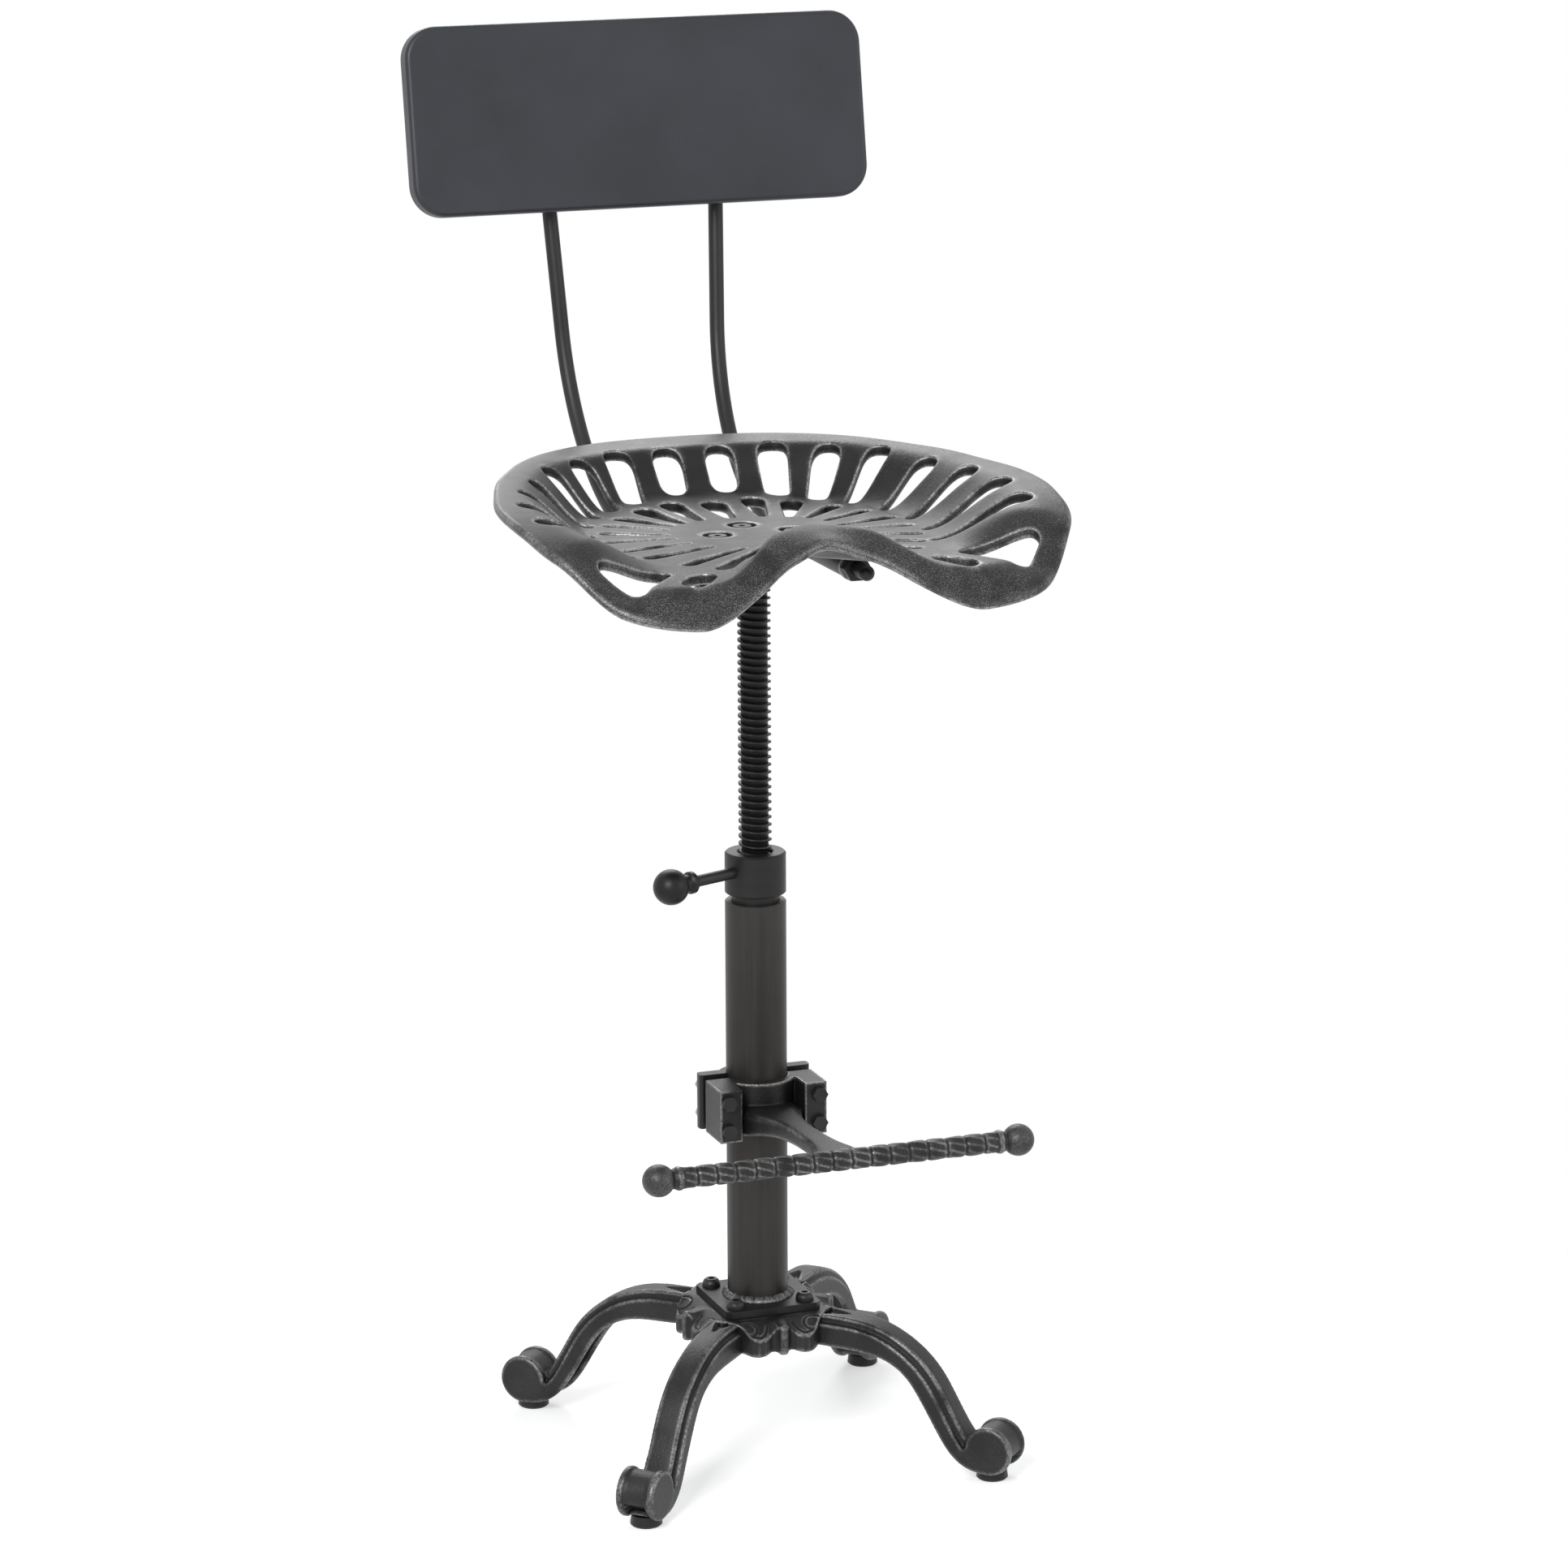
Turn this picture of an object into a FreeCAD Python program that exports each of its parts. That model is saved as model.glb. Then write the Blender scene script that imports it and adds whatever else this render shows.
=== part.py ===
import FreeCAD
import Part
import Sketcher
import math
import os
from FreeCAD import Placement, Rotation, Vector

os.makedirs("parts", exist_ok=True)
doc = FreeCAD.newDocument("tractor_stool")

# Driving dimensions in millimetres. Heights are above the floor.
DIMENSIONS = [
    # the frame's origin is under the middle of the outline, this far behind the column
    ("column_ahead", 53.0),
    # column and its foot plate
    ("tube_outer", 48.0), ("tube_wall", 3.0), ("tube_foot", 124.4), ("tube_length", 315.3),
    ("plate_side", 79.0), ("plate_thick", 6.0), ("plate_hole_pitch", 58.0), ("weld_size", 4.5),
    # bush in the top of the column
    ("bush_cap", 8.0), ("bush_length", 40.0), ("bush_fit", 0.05), ("bush_socket", 38.0),
    ("bush_socket_depth", 26.0), ("running_gap", 0.05),
    # locking collar and its lever
    ("collar_gap", 14.3), ("collar_height", 33.0), ("spigot_length", 24.0), ("collar_bore", 27.2),
    ("lever_rise", 19.0), ("lever_rod", 9.0), ("lever_ball", 28.0), ("lever_reach", 87.0),
    ("lever_angle", 202.0),
    # screw spindle
    ("thread_outer", 26.0), ("spindle_base", 300.0), ("tail_size", 18.0), ("guide_height", 12.0),
    ("guide_gap", 0.1), ("end_gap", 0.2), ("end_washer_thick", 3.0), ("boss_size", 38.0),
    ("boss_height", 12.0),
    # base casting
    ("hub_half", 58.0), ("hub_thick", 8.4), ("web_depth", 26.4), ("web_thick", 7.0),
    ("leg_width", 29.0), ("crown_width", 23.0), ("channel_width", 17.0),
    ("foot_size", 39.0), ("foot_reach", 205.0), ("foot_height", 26.0), ("foot_width", 32.0),
    ("glide_reach", 202.7), ("glide_size", 25.0), ("glide_height", 9.0), ("glide_screw", 6.0),
    ("base_bolt", 8.0), ("bolt_gap", 0.1),
    # footrest
    ("clamp_base", 264.0), ("clamp_tall", 42.0), ("clamp_half", 44.0), ("clamp_front_deep", 37.0),
    ("clamp_back_deep", 10.0), ("clamp_slot", 6.0), ("clamp_ring", 7.0), ("clamp_bolt", 8.0),
    ("clamp_bolt_pitch", 75.0), ("clamp_bolt_rise", 23.0), ("bar_size", 17.0), ("bar_half", 145.5),
    ("bar_ahead", 187.7), ("bar_rise", 25.7), ("bar_ball", 25.0),
    # seat and its bracket
    ("seat_plateau", 741.0), ("seat_thick", 9.0), ("bracket_thick", 6.0), ("bracket_deep", 84.0),
    ("seat_hole_radius", 31.0), ("seat_hole_ahead", 5.0), ("seat_bolt", 8.0), ("seat_recess", 22.5),
    ("seat_recess_deep", 3.6), ("rod_spread", 59.5), ("rod_drop", 21.0), ("rod_size", 12.0),
    ("rod_gap", 0.05), ("sleeve_outer", 21.0), ("sleeve_front", 58.0), ("sleeve_back", 50.0),
    # backrest
    ("rod_front", 95.0), ("rod_bend", 167.0), ("rod_bend_start", 105.0), ("rod_lean", 8.5),
    ("rod_splay", 2.7), ("rod_top", 200.0), ("panel_wide", 383.0), ("panel_tall", 150.5),
    ("panel_thick", 16.0), ("panel_corner", 26.0), ("panel_rise", 314.0), ("panel_back", 262.0),
    ("panel_lean", 10.0),
    ("socket_wide", 46.0), ("socket_tall", 60.0), ("socket_flange", 4.0), ("panel_screw", 5.0),
]
D = {name: value for name, value in DIMENSIONS}
# heights that follow the piece that carries them
D["collar_base"] = D["tube_foot"] + D["tube_length"] + D["collar_gap"]
D["bar_height"] = D["clamp_base"] + D["bar_rise"]
D["rod_height"] = D["seat_plateau"] - D["rod_drop"]
D["panel_height"] = D["rod_height"] + D["panel_rise"]

sheet = doc.addObject("Spreadsheet::Sheet", "Sizes")
for row, (name, value) in enumerate(DIMENSIONS, start=1):
    sheet.set("A%d" % row, name)
    sheet.set("B%d" % row, str(value))
    sheet.setAlias("B%d" % row, name)
doc.recompute()

PARTS = []


def place(obj, height=0.0, back=0.0, across=0.0, turn=None):
    """Give a finished sub-part its place on the column axis and list it for export."""
    spot = Placement(Vector(across, back - D["column_ahead"], height), turn or Rotation())
    obj.Placement = spot.multiply(obj.Placement)
    PARTS.append(obj)
    return obj


def new_body(label):
    body = doc.addObject("PartDesign::Body", label)
    body.Label = label
    return body


def base_plane(body, role):
    return next(item for item in body.Origin.OriginFeatures if item.Role == role)


def new_sketch(body, role="XY_Plane", level=0.0, turn=None):
    sketch = body.newObject("Sketcher::SketchObject", body.Label + "_sketch")
    sketch.AttachmentSupport = [(base_plane(body, role), "")]
    sketch.MapMode = "FlatFace"
    sketch.AttachmentOffset = Placement(Vector(0, 0, level), turn or Rotation())
    return sketch


def draw_circle(sketch, radius, across=0.0, along=0.0, formula=None):
    index = sketch.addGeometry(Part.Circle(Vector(across, along, 0), Vector(0, 0, 1), radius), False)
    constraint = sketch.addConstraint(Sketcher.Constraint("Radius", index, radius))
    if formula:
        sketch.setExpression("Constraints[%d]" % constraint, formula)
    return index


def draw_outline(sketch, points):
    count = len(points)
    first = None
    for number in range(count):
        start = Vector(points[number][0], points[number][1], 0)
        end = Vector(points[(number + 1) % count][0], points[(number + 1) % count][1], 0)
        index = sketch.addGeometry(Part.LineSegment(start, end), False)
        if first is None:
            first = index
        else:
            sketch.addConstraint(Sketcher.Constraint("Coincident", index - 1, 2, index, 1))
    sketch.addConstraint(Sketcher.Constraint("Coincident", first + count - 1, 2, first, 1))


def draw_curves(sketch, runs):
    """Draw a closed outline from runs of points, each run being one smooth curve or one line."""
    for run in runs:
        points = [Vector(x, y, 0) for x, y in run]
        if len(points) == 2:
            sketch.addGeometry(Part.LineSegment(points[0], points[1]), False)
        else:
            curve = Part.BSplineCurve()
            curve.interpolate(points)
            sketch.addGeometry(curve, False)


def rectangle(half_x, half_y, centre_x=0.0, centre_y=0.0):
    return [(centre_x - half_x, centre_y - half_y), (centre_x + half_x, centre_y - half_y),
            (centre_x + half_x, centre_y + half_y), (centre_x - half_x, centre_y + half_y)]


def cut_square(half, cut):
    """Square outline with its corners cut off."""
    near = half - cut
    return [(-near, -half), (near, -half), (half, -near), (half, near), (near, half), (-near, half),
            (-half, near), (-half, -near)]


def draw_rounded(sketch, half_x, half_y, corner):
    """Rectangle with rounded corners."""
    near_x, near_y = half_x - corner, half_y - corner
    bend = corner * math.sqrt(0.5)
    for x, y in ((1, 1), (-1, 1), (-1, -1), (1, -1)):
        first = Vector(x * half_x, y * near_y, 0)
        middle = Vector(x * (near_x + bend), y * (near_y + bend), 0)
        last = Vector(x * near_x, y * half_y, 0)
        sketch.addGeometry(Part.Arc(first, middle, last), False)
    for side in (-1, 1):
        sketch.addGeometry(Part.LineSegment(Vector(-near_x, side * half_y, 0), Vector(near_x, side * half_y, 0)), False)
        sketch.addGeometry(Part.LineSegment(Vector(side * half_x, -near_y, 0), Vector(side * half_x, near_y, 0)), False)


def add_feature(body, kind, sketch, length, formula=None, both_ways=False, backwards=False):
    feature = body.newObject("PartDesign::" + kind, body.Label + "_" + kind.lower())
    feature.Profile = sketch
    feature.Length = length
    if formula:
        feature.setExpression("Length", formula)
    feature.Midplane = both_ways
    feature.Reversed = backwards
    return feature


def pad(body, sketch, length, formula=None, both_ways=False, backwards=False):
    return add_feature(body, "Pad", sketch, length, formula, both_ways, backwards)


def pocket(body, sketch, length, formula=None, both_ways=False, backwards=False):
    return add_feature(body, "Pocket", sketch, length, formula, both_ways, backwards)


def revolve(body, sketch):
    feature = body.newObject("PartDesign::Revolution", body.Label + "_turned")
    feature.Profile = sketch
    feature.ReferenceAxis = (sketch, ["V_Axis"])
    feature.Angle = 360
    return feature


def polar(body, features, count):
    pattern = body.newObject("PartDesign::PolarPattern", body.Label + "_around")
    pattern.Originals = features
    pattern.Axis = (base_plane(body, "Z_Axis"), [""])
    pattern.Angle = 360
    pattern.Occurrences = count
    body.Tip = pattern
    return pattern


def tube(label, outer, inner, length, outer_formula=None, inner_formula=None, length_formula=None):
    body = new_body(label)
    sketch = new_sketch(body)
    draw_circle(sketch, outer / 2, formula=outer_formula)
    if inner:
        draw_circle(sketch, inner / 2, formula=inner_formula)
    pad(body, sketch, length, length_formula)
    return body


def turned(label, outline):
    body = new_body(label)
    sketch = new_sketch(body, "XZ_Plane")
    draw_outline(sketch, outline)
    revolve(body, sketch)
    return body


def group(label, shapes):
    """Identical loose pieces kept as separate solids under one name."""
    feature = doc.addObject("Part::Feature", label)
    feature.Label = label
    feature.Shape = Part.makeCompound(shapes)
    return feature


def solid(label, shape):
    feature = doc.addObject("Part::Feature", label)
    feature.Label = label
    feature.Shape = shape
    return feature


def lathe(points):
    """Solid of revolution about Z from radius and height pairs."""
    corners = [Vector(radius, 0, height) for radius, height in points]
    face = Part.Face(Part.makePolygon(corners + [corners[0]]))
    return face.revolve(Vector(0, 0, 0), Vector(0, 0, 1), 360)


def hexagon(across_flats, height):
    reach = across_flats / math.sqrt(3)
    corners = [Vector(reach * math.cos(math.radians(60 * k)), reach * math.sin(math.radians(60 * k)), 0)
               for k in range(7)]
    return Part.Face(Part.makePolygon(corners)).extrude(Vector(0, 0, height))


def hex_nut(across_flats, height, bore):
    """Nut with chamfered corners on both faces."""
    reach = across_flats / math.sqrt(3)
    edge = across_flats * 0.06
    cone = lathe([(0, 0), (reach - edge, 0), (reach, edge * 0.6), (reach, height - edge * 0.6),
                  (reach - edge, height), (0, height)])
    return hexagon(across_flats, height).common(cone).cut(Part.makeCylinder(bore / 2, height))


def moved(shape, x=0.0, y=0.0, z=0.0):
    copy = shape.copy()
    copy.translate(Vector(x, y, z))
    return copy


def turned_to(shape, axis, angle):
    copy = shape.copy()
    copy.rotate(Vector(0, 0, 0), axis, angle)
    return copy


# Profile of one leg in its own upright plane: distance from the column axis, then height.
LEG_TOP = [(28, 118), (58, 118), (80, 117.8), (94, 116.5), (109.5, 113.2), (124.5, 107), (139, 97.8),
           (151, 87), (160, 75.5), (167.5, 63), (174, 51.5), (180, 41), (186, 32.5), (192, 27.5)]
LEG_FLOOR = [(198, 6.8), (187, 9.2), (175.5, 16.2), (164.5, 29), (153.5, 47), (143.8, 63), (133.5, 76.5),
             (120, 86), (105, 90.8), (86, 92.4), (28, 93)]
CROWN_DEEP = 6.5
ROOF_THICK = 9.5
ROOT_HALF = math.sqrt(0.5)


def offset_curve(points, distance):
    """Points moved square to the run of the curve, to its right."""
    result = []
    for index, (x, y) in enumerate(points):
        before = points[max(index - 1, 0)]
        after = points[min(index + 1, len(points) - 1)]
        dx, dy = after[0] - before[0], after[1] - before[1]
        size = math.hypot(dx, dy)
        result.append((x + dy / size * distance, y - dx / size * distance))
    return result


def leg_outline(top):
    return [top, [top[-1], LEG_FLOOR[0]], LEG_FLOOR, [LEG_FLOOR[-1], top[0]]]


def channel_outline():
    """Hollow under the leg, from the hub to the foot."""
    roof = [point for point in offset_curve(LEG_TOP[:-2], ROOF_THICK) if point[0] > 62]
    low = [point for point in offset_curve(LEG_FLOOR[2:-1], -3.0) if point[0] > 62]
    return [roof, [roof[-1], low[0]], low, [low[-1], roof[0]]]


def make_base():
    body = new_body("base_casting")
    hub_top = D["tube_foot"] - D["plate_thick"]
    half = D["hub_half"]
    low = hub_top - D["web_depth"]
    slab = new_sketch(body, level=hub_top - D["hub_thick"])
    draw_outline(slab, cut_square(half, 20.0))
    pad(body, slab, D["hub_thick"], "Sizes.hub_thick")
    web = new_sketch(body, level=low)
    draw_outline(web, cut_square(half, 20.0))
    draw_outline(web, rectangle(half - D["web_thick"], half - D["web_thick"]))
    pad(body, web, D["web_depth"], "Sizes.web_depth")
    # wavy lower edge of the webs
    for role in ("XZ_Plane", "YZ_Plane"):
        wave = new_sketch(body, role)
        for side in (-1, 1):
            draw_circle(wave, 9.0, side * 16.0, low - 5.5)
        pocket(body, wave, 4 * half, both_ways=True)
    diagonal = Rotation(Vector(0, 1, 0), 45)
    crown = new_sketch(body, "XZ_Plane", turn=diagonal)
    draw_curves(crown, leg_outline(LEG_TOP))
    crown_pad = pad(body, crown, D["crown_width"], "Sizes.crown_width", both_ways=True)
    side = new_sketch(body, "XZ_Plane", turn=diagonal)
    draw_curves(side, leg_outline(offset_curve(LEG_TOP, CROWN_DEEP)))
    side_pad = pad(body, side, D["leg_width"], "Sizes.leg_width", both_ways=True)
    drum = new_sketch(body, "XZ_Plane", turn=diagonal)
    draw_circle(drum, D["foot_size"] / 2, D["foot_reach"], D["foot_height"], "Sizes.foot_size / 2")
    drum_pad = pad(body, drum, D["foot_width"], "Sizes.foot_width", both_ways=True)
    polar(body, [crown_pad, side_pad, drum_pad], 4)
    channel = new_sketch(body, "XZ_Plane", turn=diagonal)
    draw_curves(channel, channel_outline())
    channel_cut = pocket(body, channel, D["channel_width"], "Sizes.channel_width", both_ways=True)
    window = new_sketch(body, "XZ_Plane", turn=diagonal)
    draw_outline(window, rectangle(6.0, 4.5, D["foot_reach"] + D["foot_size"] / 2, 16.0))
    window_cut = pocket(body, window, D["channel_width"], "Sizes.channel_width", both_ways=True)
    polar(body, [channel_cut, window_cut], 4)
    # pointed recess on top of each leg root
    recess = new_sketch(body, level=hub_top)
    near, far, wing = 60.0 * ROOT_HALF, 84.0 * ROOT_HALF, 8.0 * ROOT_HALF
    draw_outline(recess, [(near + wing, near - wing), (far, far), (near - wing, near + wing)])
    recess_cut = pocket(body, recess, 3.5)
    polar(body, [recess_cut], 4)
    # holes for the plate bolts and the glide studs, and flat seats for the glides
    holes = new_sketch(body, level=hub_top)
    pitch = D["plate_hole_pitch"] / 2
    for x, y in rectangle(pitch, pitch):
        draw_circle(holes, D["base_bolt"] / 2 + D["bolt_gap"], x, y)
    pocket(body, holes, 18.5)
    reach = D["glide_reach"] * ROOT_HALF
    glides = new_sketch(body)
    seats = new_sketch(body)
    for x, y in rectangle(reach, reach):
        draw_circle(glides, D["glide_screw"] / 2 + D["bolt_gap"], x, y)
        draw_circle(seats, D["glide_size"] / 2 + 0.5, x, y)
    pocket(body, glides, D["foot_height"], "Sizes.foot_height", backwards=True)
    pocket(body, seats, D["glide_height"], "Sizes.glide_height", backwards=True)
    return place(body)


def make_glides():
    reach = D["glide_reach"] * ROOT_HALF
    radius = D["glide_size"] / 2
    tall = D["glide_height"]
    core = D["glide_screw"] / 2 + D["bolt_gap"]
    names = ("front_left", "front_right", "back_right", "back_left")
    outline = [(0, 0), (radius - 1.5, 0), (radius, 1.5), (radius - 1.0, tall), (core, tall), (core, 3.8),
               (0, 3.8)]
    for name, (x, y) in zip(names, rectangle(reach, reach)):
        place(turned("glide_" + name, outline), across=x, back=y)
    stud = Part.makeCylinder(D["glide_screw"] / 2, D["foot_height"] - 5.0, Vector(0, 0, 4.0))
    place(group("glide_screws", [moved(stud, x, y) for x, y in rectangle(reach, reach)]))


def make_foot_plate():
    body = new_body("column_base_plate")
    sketch = new_sketch(body)
    draw_outline(sketch, cut_square(D["plate_side"] / 2, 4.0))
    pitch = D["plate_hole_pitch"] / 2
    for x, y in rectangle(pitch, pitch):
        draw_circle(sketch, D["base_bolt"] / 2 + 0.5, x, y)
    pad(body, sketch, D["plate_thick"], "Sizes.plate_thick")
    return place(body, D["tube_foot"] - D["plate_thick"])


def make_column():
    bore = D["tube_outer"] - 2 * D["tube_wall"]
    body = tube("column_tube", D["tube_outer"], bore, D["tube_length"], "Sizes.tube_outer / 2",
                "Sizes.tube_outer / 2 - Sizes.tube_wall", "Sizes.tube_length")
    place(body, D["tube_foot"])
    radius = D["tube_outer"] / 2
    size = D["weld_size"]
    weld = turned("column_weld", [(radius, 0), (radius + size, 0), (radius + size * 0.8, size * 0.55),
                                  (radius + size * 0.45, size * 0.85), (radius, size)])
    place(weld, D["tube_foot"])


def make_bush():
    bore = D["tube_outer"] / 2 - D["tube_wall"] - D["bush_fit"]
    rim = D["tube_outer"] / 2
    top = D["bush_cap"]
    low = -D["bush_length"]
    thread = D["thread_outer"] / 2 + D["running_gap"]
    socket = D["bush_socket"] / 2
    floor = top - D["bush_socket_depth"]
    outline = [(thread, low), (bore, low), (bore, 0), (rim, 0), (rim, top - 0.8), (rim - 0.8, top),
               (socket, top), (socket, floor), (thread, floor)]
    place(turned("tube_bush", outline), D["tube_foot"] + D["tube_length"])


def make_base_bolts():
    size = D["base_bolt"]
    washer_thick = 2.0
    head = lathe([(0, 0), (7.0, 0), (7.0, 1.0), (6.2, 2.9), (4.6, 4.4), (0, 4.4)])
    shank = Part.makeCylinder(size / 2, 26.0, Vector(0, 0, -26.0))
    bolt = head.fuse(shank).cut(moved(hexagon(5.0, 2.6), z=1.9))
    washer = Part.makeCylinder(7.2, washer_thick).cut(Part.makeCylinder(size / 2 + 0.25, washer_thick))
    pitch = D["plate_hole_pitch"] / 2
    spots = rectangle(pitch, pitch)
    place(group("base_bolts", [moved(bolt, x, y, washer_thick) for x, y in spots]), D["tube_foot"])
    place(group("base_washers", [moved(washer, x, y) for x, y in spots]), D["tube_foot"])


def make_collar():
    radius = D["tube_outer"] / 2
    bore = D["collar_bore"] / 2
    spigot = D["bush_socket"] / 2 - D["running_gap"]
    tall = D["collar_height"]
    ring = lathe([(bore, -D["spigot_length"]), (spigot, -D["spigot_length"]), (spigot, 0), (radius - 0.8, 0),
                  (radius, 0.8), (radius, tall - 1.4), (radius - 1.4, tall), (bore + 1.0, tall),
                  (bore, tall - 1.0)])
    hole = Part.makeCylinder(D["lever_rod"] / 2 + D["running_gap"], radius, Vector(0, 0, bore + 1.0))
    hole = turned_to(turned_to(hole, Vector(0, 1, 0), 90), Vector(0, 0, 1), D["lever_angle"])
    return place(solid("lock_collar", ring.cut(moved(hole, z=D["lever_rise"]))), D["collar_base"])


def make_lever():
    rod = D["lever_rod"] / 2
    ball = D["lever_ball"] / 2
    reach = D["lever_reach"]
    stem_end = reach - 6.0
    turn = Rotation(Vector(0, 0, 1), D["lever_angle"]).multiply(Rotation(Vector(0, 1, 0), 90))
    height = D["collar_base"] + D["lever_rise"]
    start = D["collar_bore"] / 2 + 1.2
    stem = [(0, start), (rod - 0.6, start), (rod, start + 0.6), (rod, stem_end), (0, stem_end)]
    place(turned("lock_lever_rod", stem), height, turn=turn)
    neck = reach - ball - 9.0
    ring = lathe([(0, neck), (rod + 3.0, neck), (rod + 4.2, neck + 1.4), (rod + 4.2, neck + 4.6),
                  (rod + 2.4, neck + 6.4), (rod + 2.4, reach), (0, reach)])
    hole = Part.makeCylinder(rod + 0.05, stem_end + 0.1 - neck, Vector(0, 0, neck))
    knob = ring.fuse(Part.makeSphere(ball, Vector(0, 0, reach))).cut(hole)
    place(solid("lock_lever_knob", knob), height, turn=turn)


def make_spindle():
    radius = D["thread_outer"] / 2
    tail = D["tail_size"] / 2
    guide = D["guide_height"] + 2 * D["end_gap"]
    bottom = D["spindle_base"]
    length = D["seat_plateau"] - D["seat_thick"] - D["bracket_thick"] - bottom
    outline = [(4.1, 0), (tail - 1, 0), (tail, 1), (tail, guide), (radius - 1.5, guide), (radius, guide + 1.5),
               (radius, length), (0, length), (0, 28), (4.1, 26)]
    place(turned("spindle", outline), bottom)
    bore = D["tube_outer"] - 2 * D["tube_wall"] - 2 * D["guide_gap"]
    ring = tube("spindle_guide", bore, D["tail_size"] + 2 * D["running_gap"], D["guide_height"],
                "Sizes.tube_outer / 2 - Sizes.tube_wall - Sizes.guide_gap",
                "Sizes.tail_size / 2 + Sizes.running_gap", "Sizes.guide_height")
    place(ring, bottom + D["end_gap"])
    thick = D["end_washer_thick"]
    washer = tube("guide_washer", 30.0, 8.5, thick, None, None, "Sizes.end_washer_thick")
    place(washer, bottom - thick)
    head = 5.3
    bolt = hexagon(13.0, head).fuse(Part.makeCylinder(4.0, head + thick + 20.0))
    place(solid("guide_bolt", bolt), bottom - thick - head)


def soft_box(left, right, near, far, tall, radius):
    """Upright box with its four upright edges rounded."""
    box = Part.makeBox(right - left, far - near, tall, Vector(left, near, 0))
    uprights = [edge for edge in box.Edges if abs(edge.tangentAt(edge.FirstParameter).z) > 0.9]
    return box.makeFillet(radius, uprights)


def make_arm():
    """Arm from the clamp ring: it narrows, runs forward and flares into the foot bar."""
    rail = D["bar_height"] - D["clamp_base"]
    ahead = D["bar_ahead"]
    stations = [(22.0, 12.0, 24.0, 24.0), (38.0, 13.0, 23.0, 22.0), (55.0, 15.5, 18.5, 18.0),
                (75.0, 18.5, 13.5, 15.0), (100.0, 21.0, 10.8, 13.0), (130.0, 23.3, 10.8, 12.0),
                (160.0, 25.2, 13.5, 12.0), (178.0, 26.0, 18.0, 12.0), (ahead, 26.0, 20.0, 11.0)]
    wires = []
    for along, height, half, deep in stations:
        corners = [Vector(-half, -along, height - deep / 2), Vector(half, -along, height - deep / 2),
                   Vector(half * 0.86, -along, height + deep / 2), Vector(-half * 0.86, -along, height + deep / 2)]
        wires.append(Part.makePolygon(corners + [corners[0]]))
    arm = Part.makeLoft(wires, True, False)
    bar = Part.makeCylinder(D["bar_size"] / 2, 400, Vector(-200, -ahead, rail), Vector(1, 0, 0))
    return arm.cut(bar)


def make_clamp():
    tall = D["clamp_tall"]
    gap = D["clamp_slot"] / 2
    half = D["clamp_half"]
    front = -gap - D["clamp_front_deep"]
    back = gap + D["clamp_back_deep"]
    radius = D["tube_outer"] / 2
    ring = Part.makeCylinder(radius + D["clamp_ring"], tall)
    ahead = Part.makeBox(120, 60, tall, Vector(-60, -gap - 60, 0))
    behind = Part.makeBox(120, 60, tall, Vector(-60, gap, 0))
    bore = Part.makeCylinder(radius + D["running_gap"], tall + 20.0, Vector(0, 0, -10.0))
    front_half = ring.common(ahead).fuse(make_arm())
    for left, right in ((-half, -25.0), (25.0, half)):
        front_half = front_half.fuse(soft_box(left, right, front, -gap, tall, 3.0))
    back_half = soft_box(-half - 2.0, half + 2.0, gap, back, tall + 2.0, 3.0).fuse(ring.common(behind))
    hole = turned_to(Part.makeCylinder(D["clamp_bolt"] / 2 + 0.2, 120, Vector(0, 0, -60)), Vector(1, 0, 0), 90)
    head = hexagon(11.0, 4.5).fuse(Part.makeCylinder(D["clamp_bolt"] / 2, back - front + 4.5 + 8.0))
    bolt = turned_to(head, Vector(1, 0, 0), -90)
    nut = turned_to(hex_nut(13.0, 6.0, D["clamp_bolt"] + 0.1), Vector(1, 0, 0), -90)
    bolts = []
    nuts = []
    for side in (-1, 1):
        for rise in (-1, 1):
            x = side * D["clamp_bolt_pitch"] / 2
            z = tall / 2 + rise * D["clamp_bolt_rise"] / 2
            front_half = front_half.cut(moved(hole, x, 0, z))
            back_half = back_half.cut(moved(hole, x, 0, z))
            bolts.append(moved(bolt, x, front - 4.5, z))
            nuts.append(moved(nut, x, back, z))
    place(solid("footrest_clamp_front", front_half.cut(bore)), D["clamp_base"])
    place(solid("footrest_clamp_back", back_half.cut(bore)), D["clamp_base"])
    place(group("clamp_bolts", bolts), D["clamp_base"])
    place(group("clamp_nuts", nuts), D["clamp_base"])


def make_bar():
    half = D["bar_half"]
    radius = D["bar_size"] / 2
    ball = D["bar_ball"] / 2
    bar = Part.makeCylinder(radius, 2 * half, Vector(-half, 0, 0), Vector(1, 0, 0))
    for side in (-1, 1):
        bar = bar.fuse(Part.makeSphere(ball, Vector(side * half, 0, 0)))
        collar = Vector(side * (half - ball - 0.5) - 2.0, 0, 0)
        bar = bar.fuse(Part.makeCylinder(radius + 0.6, 4, collar, Vector(1, 0, 0)))
    place(solid("footrest_bar", bar), D["bar_height"], back=-D["bar_ahead"])


# The seat's upper face. Each row holds an angle from the back, then where the flat plateau
# ends, then distance and height of the foot of the wall, of its shoulder and of the rim. The
# rows run round one side from back to front, about a point ahead of the column.
SEAT_ROWS = [
    (0, 72, 150, 747.0, 187, 780, 217, 781), (20, 72, 152, 746.0, 192, 780, 216, 782),
    (40, 72, 148, 742.0, 194, 781, 210, 783), (60, 70, 136, 742.0, 186, 780, 203, 783),
    (80, 68, 127, 741.5, 186, 779, 206, 781), (100, 64, 125, 741.5, 196, 777, 220, 778),
    (120, 58, 131, 742.0, 206, 770, 237, 764), (135, 52, 141, 742.0, 205, 740, 238, 728),
    (150, 47, 142, 744.0, 185, 741, 214, 716), (165, 43, 95, 752.0, 130, 768, 170, 746),
    (180, 41, 75, 750.0, 108, 769, 143, 763),
]
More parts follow.
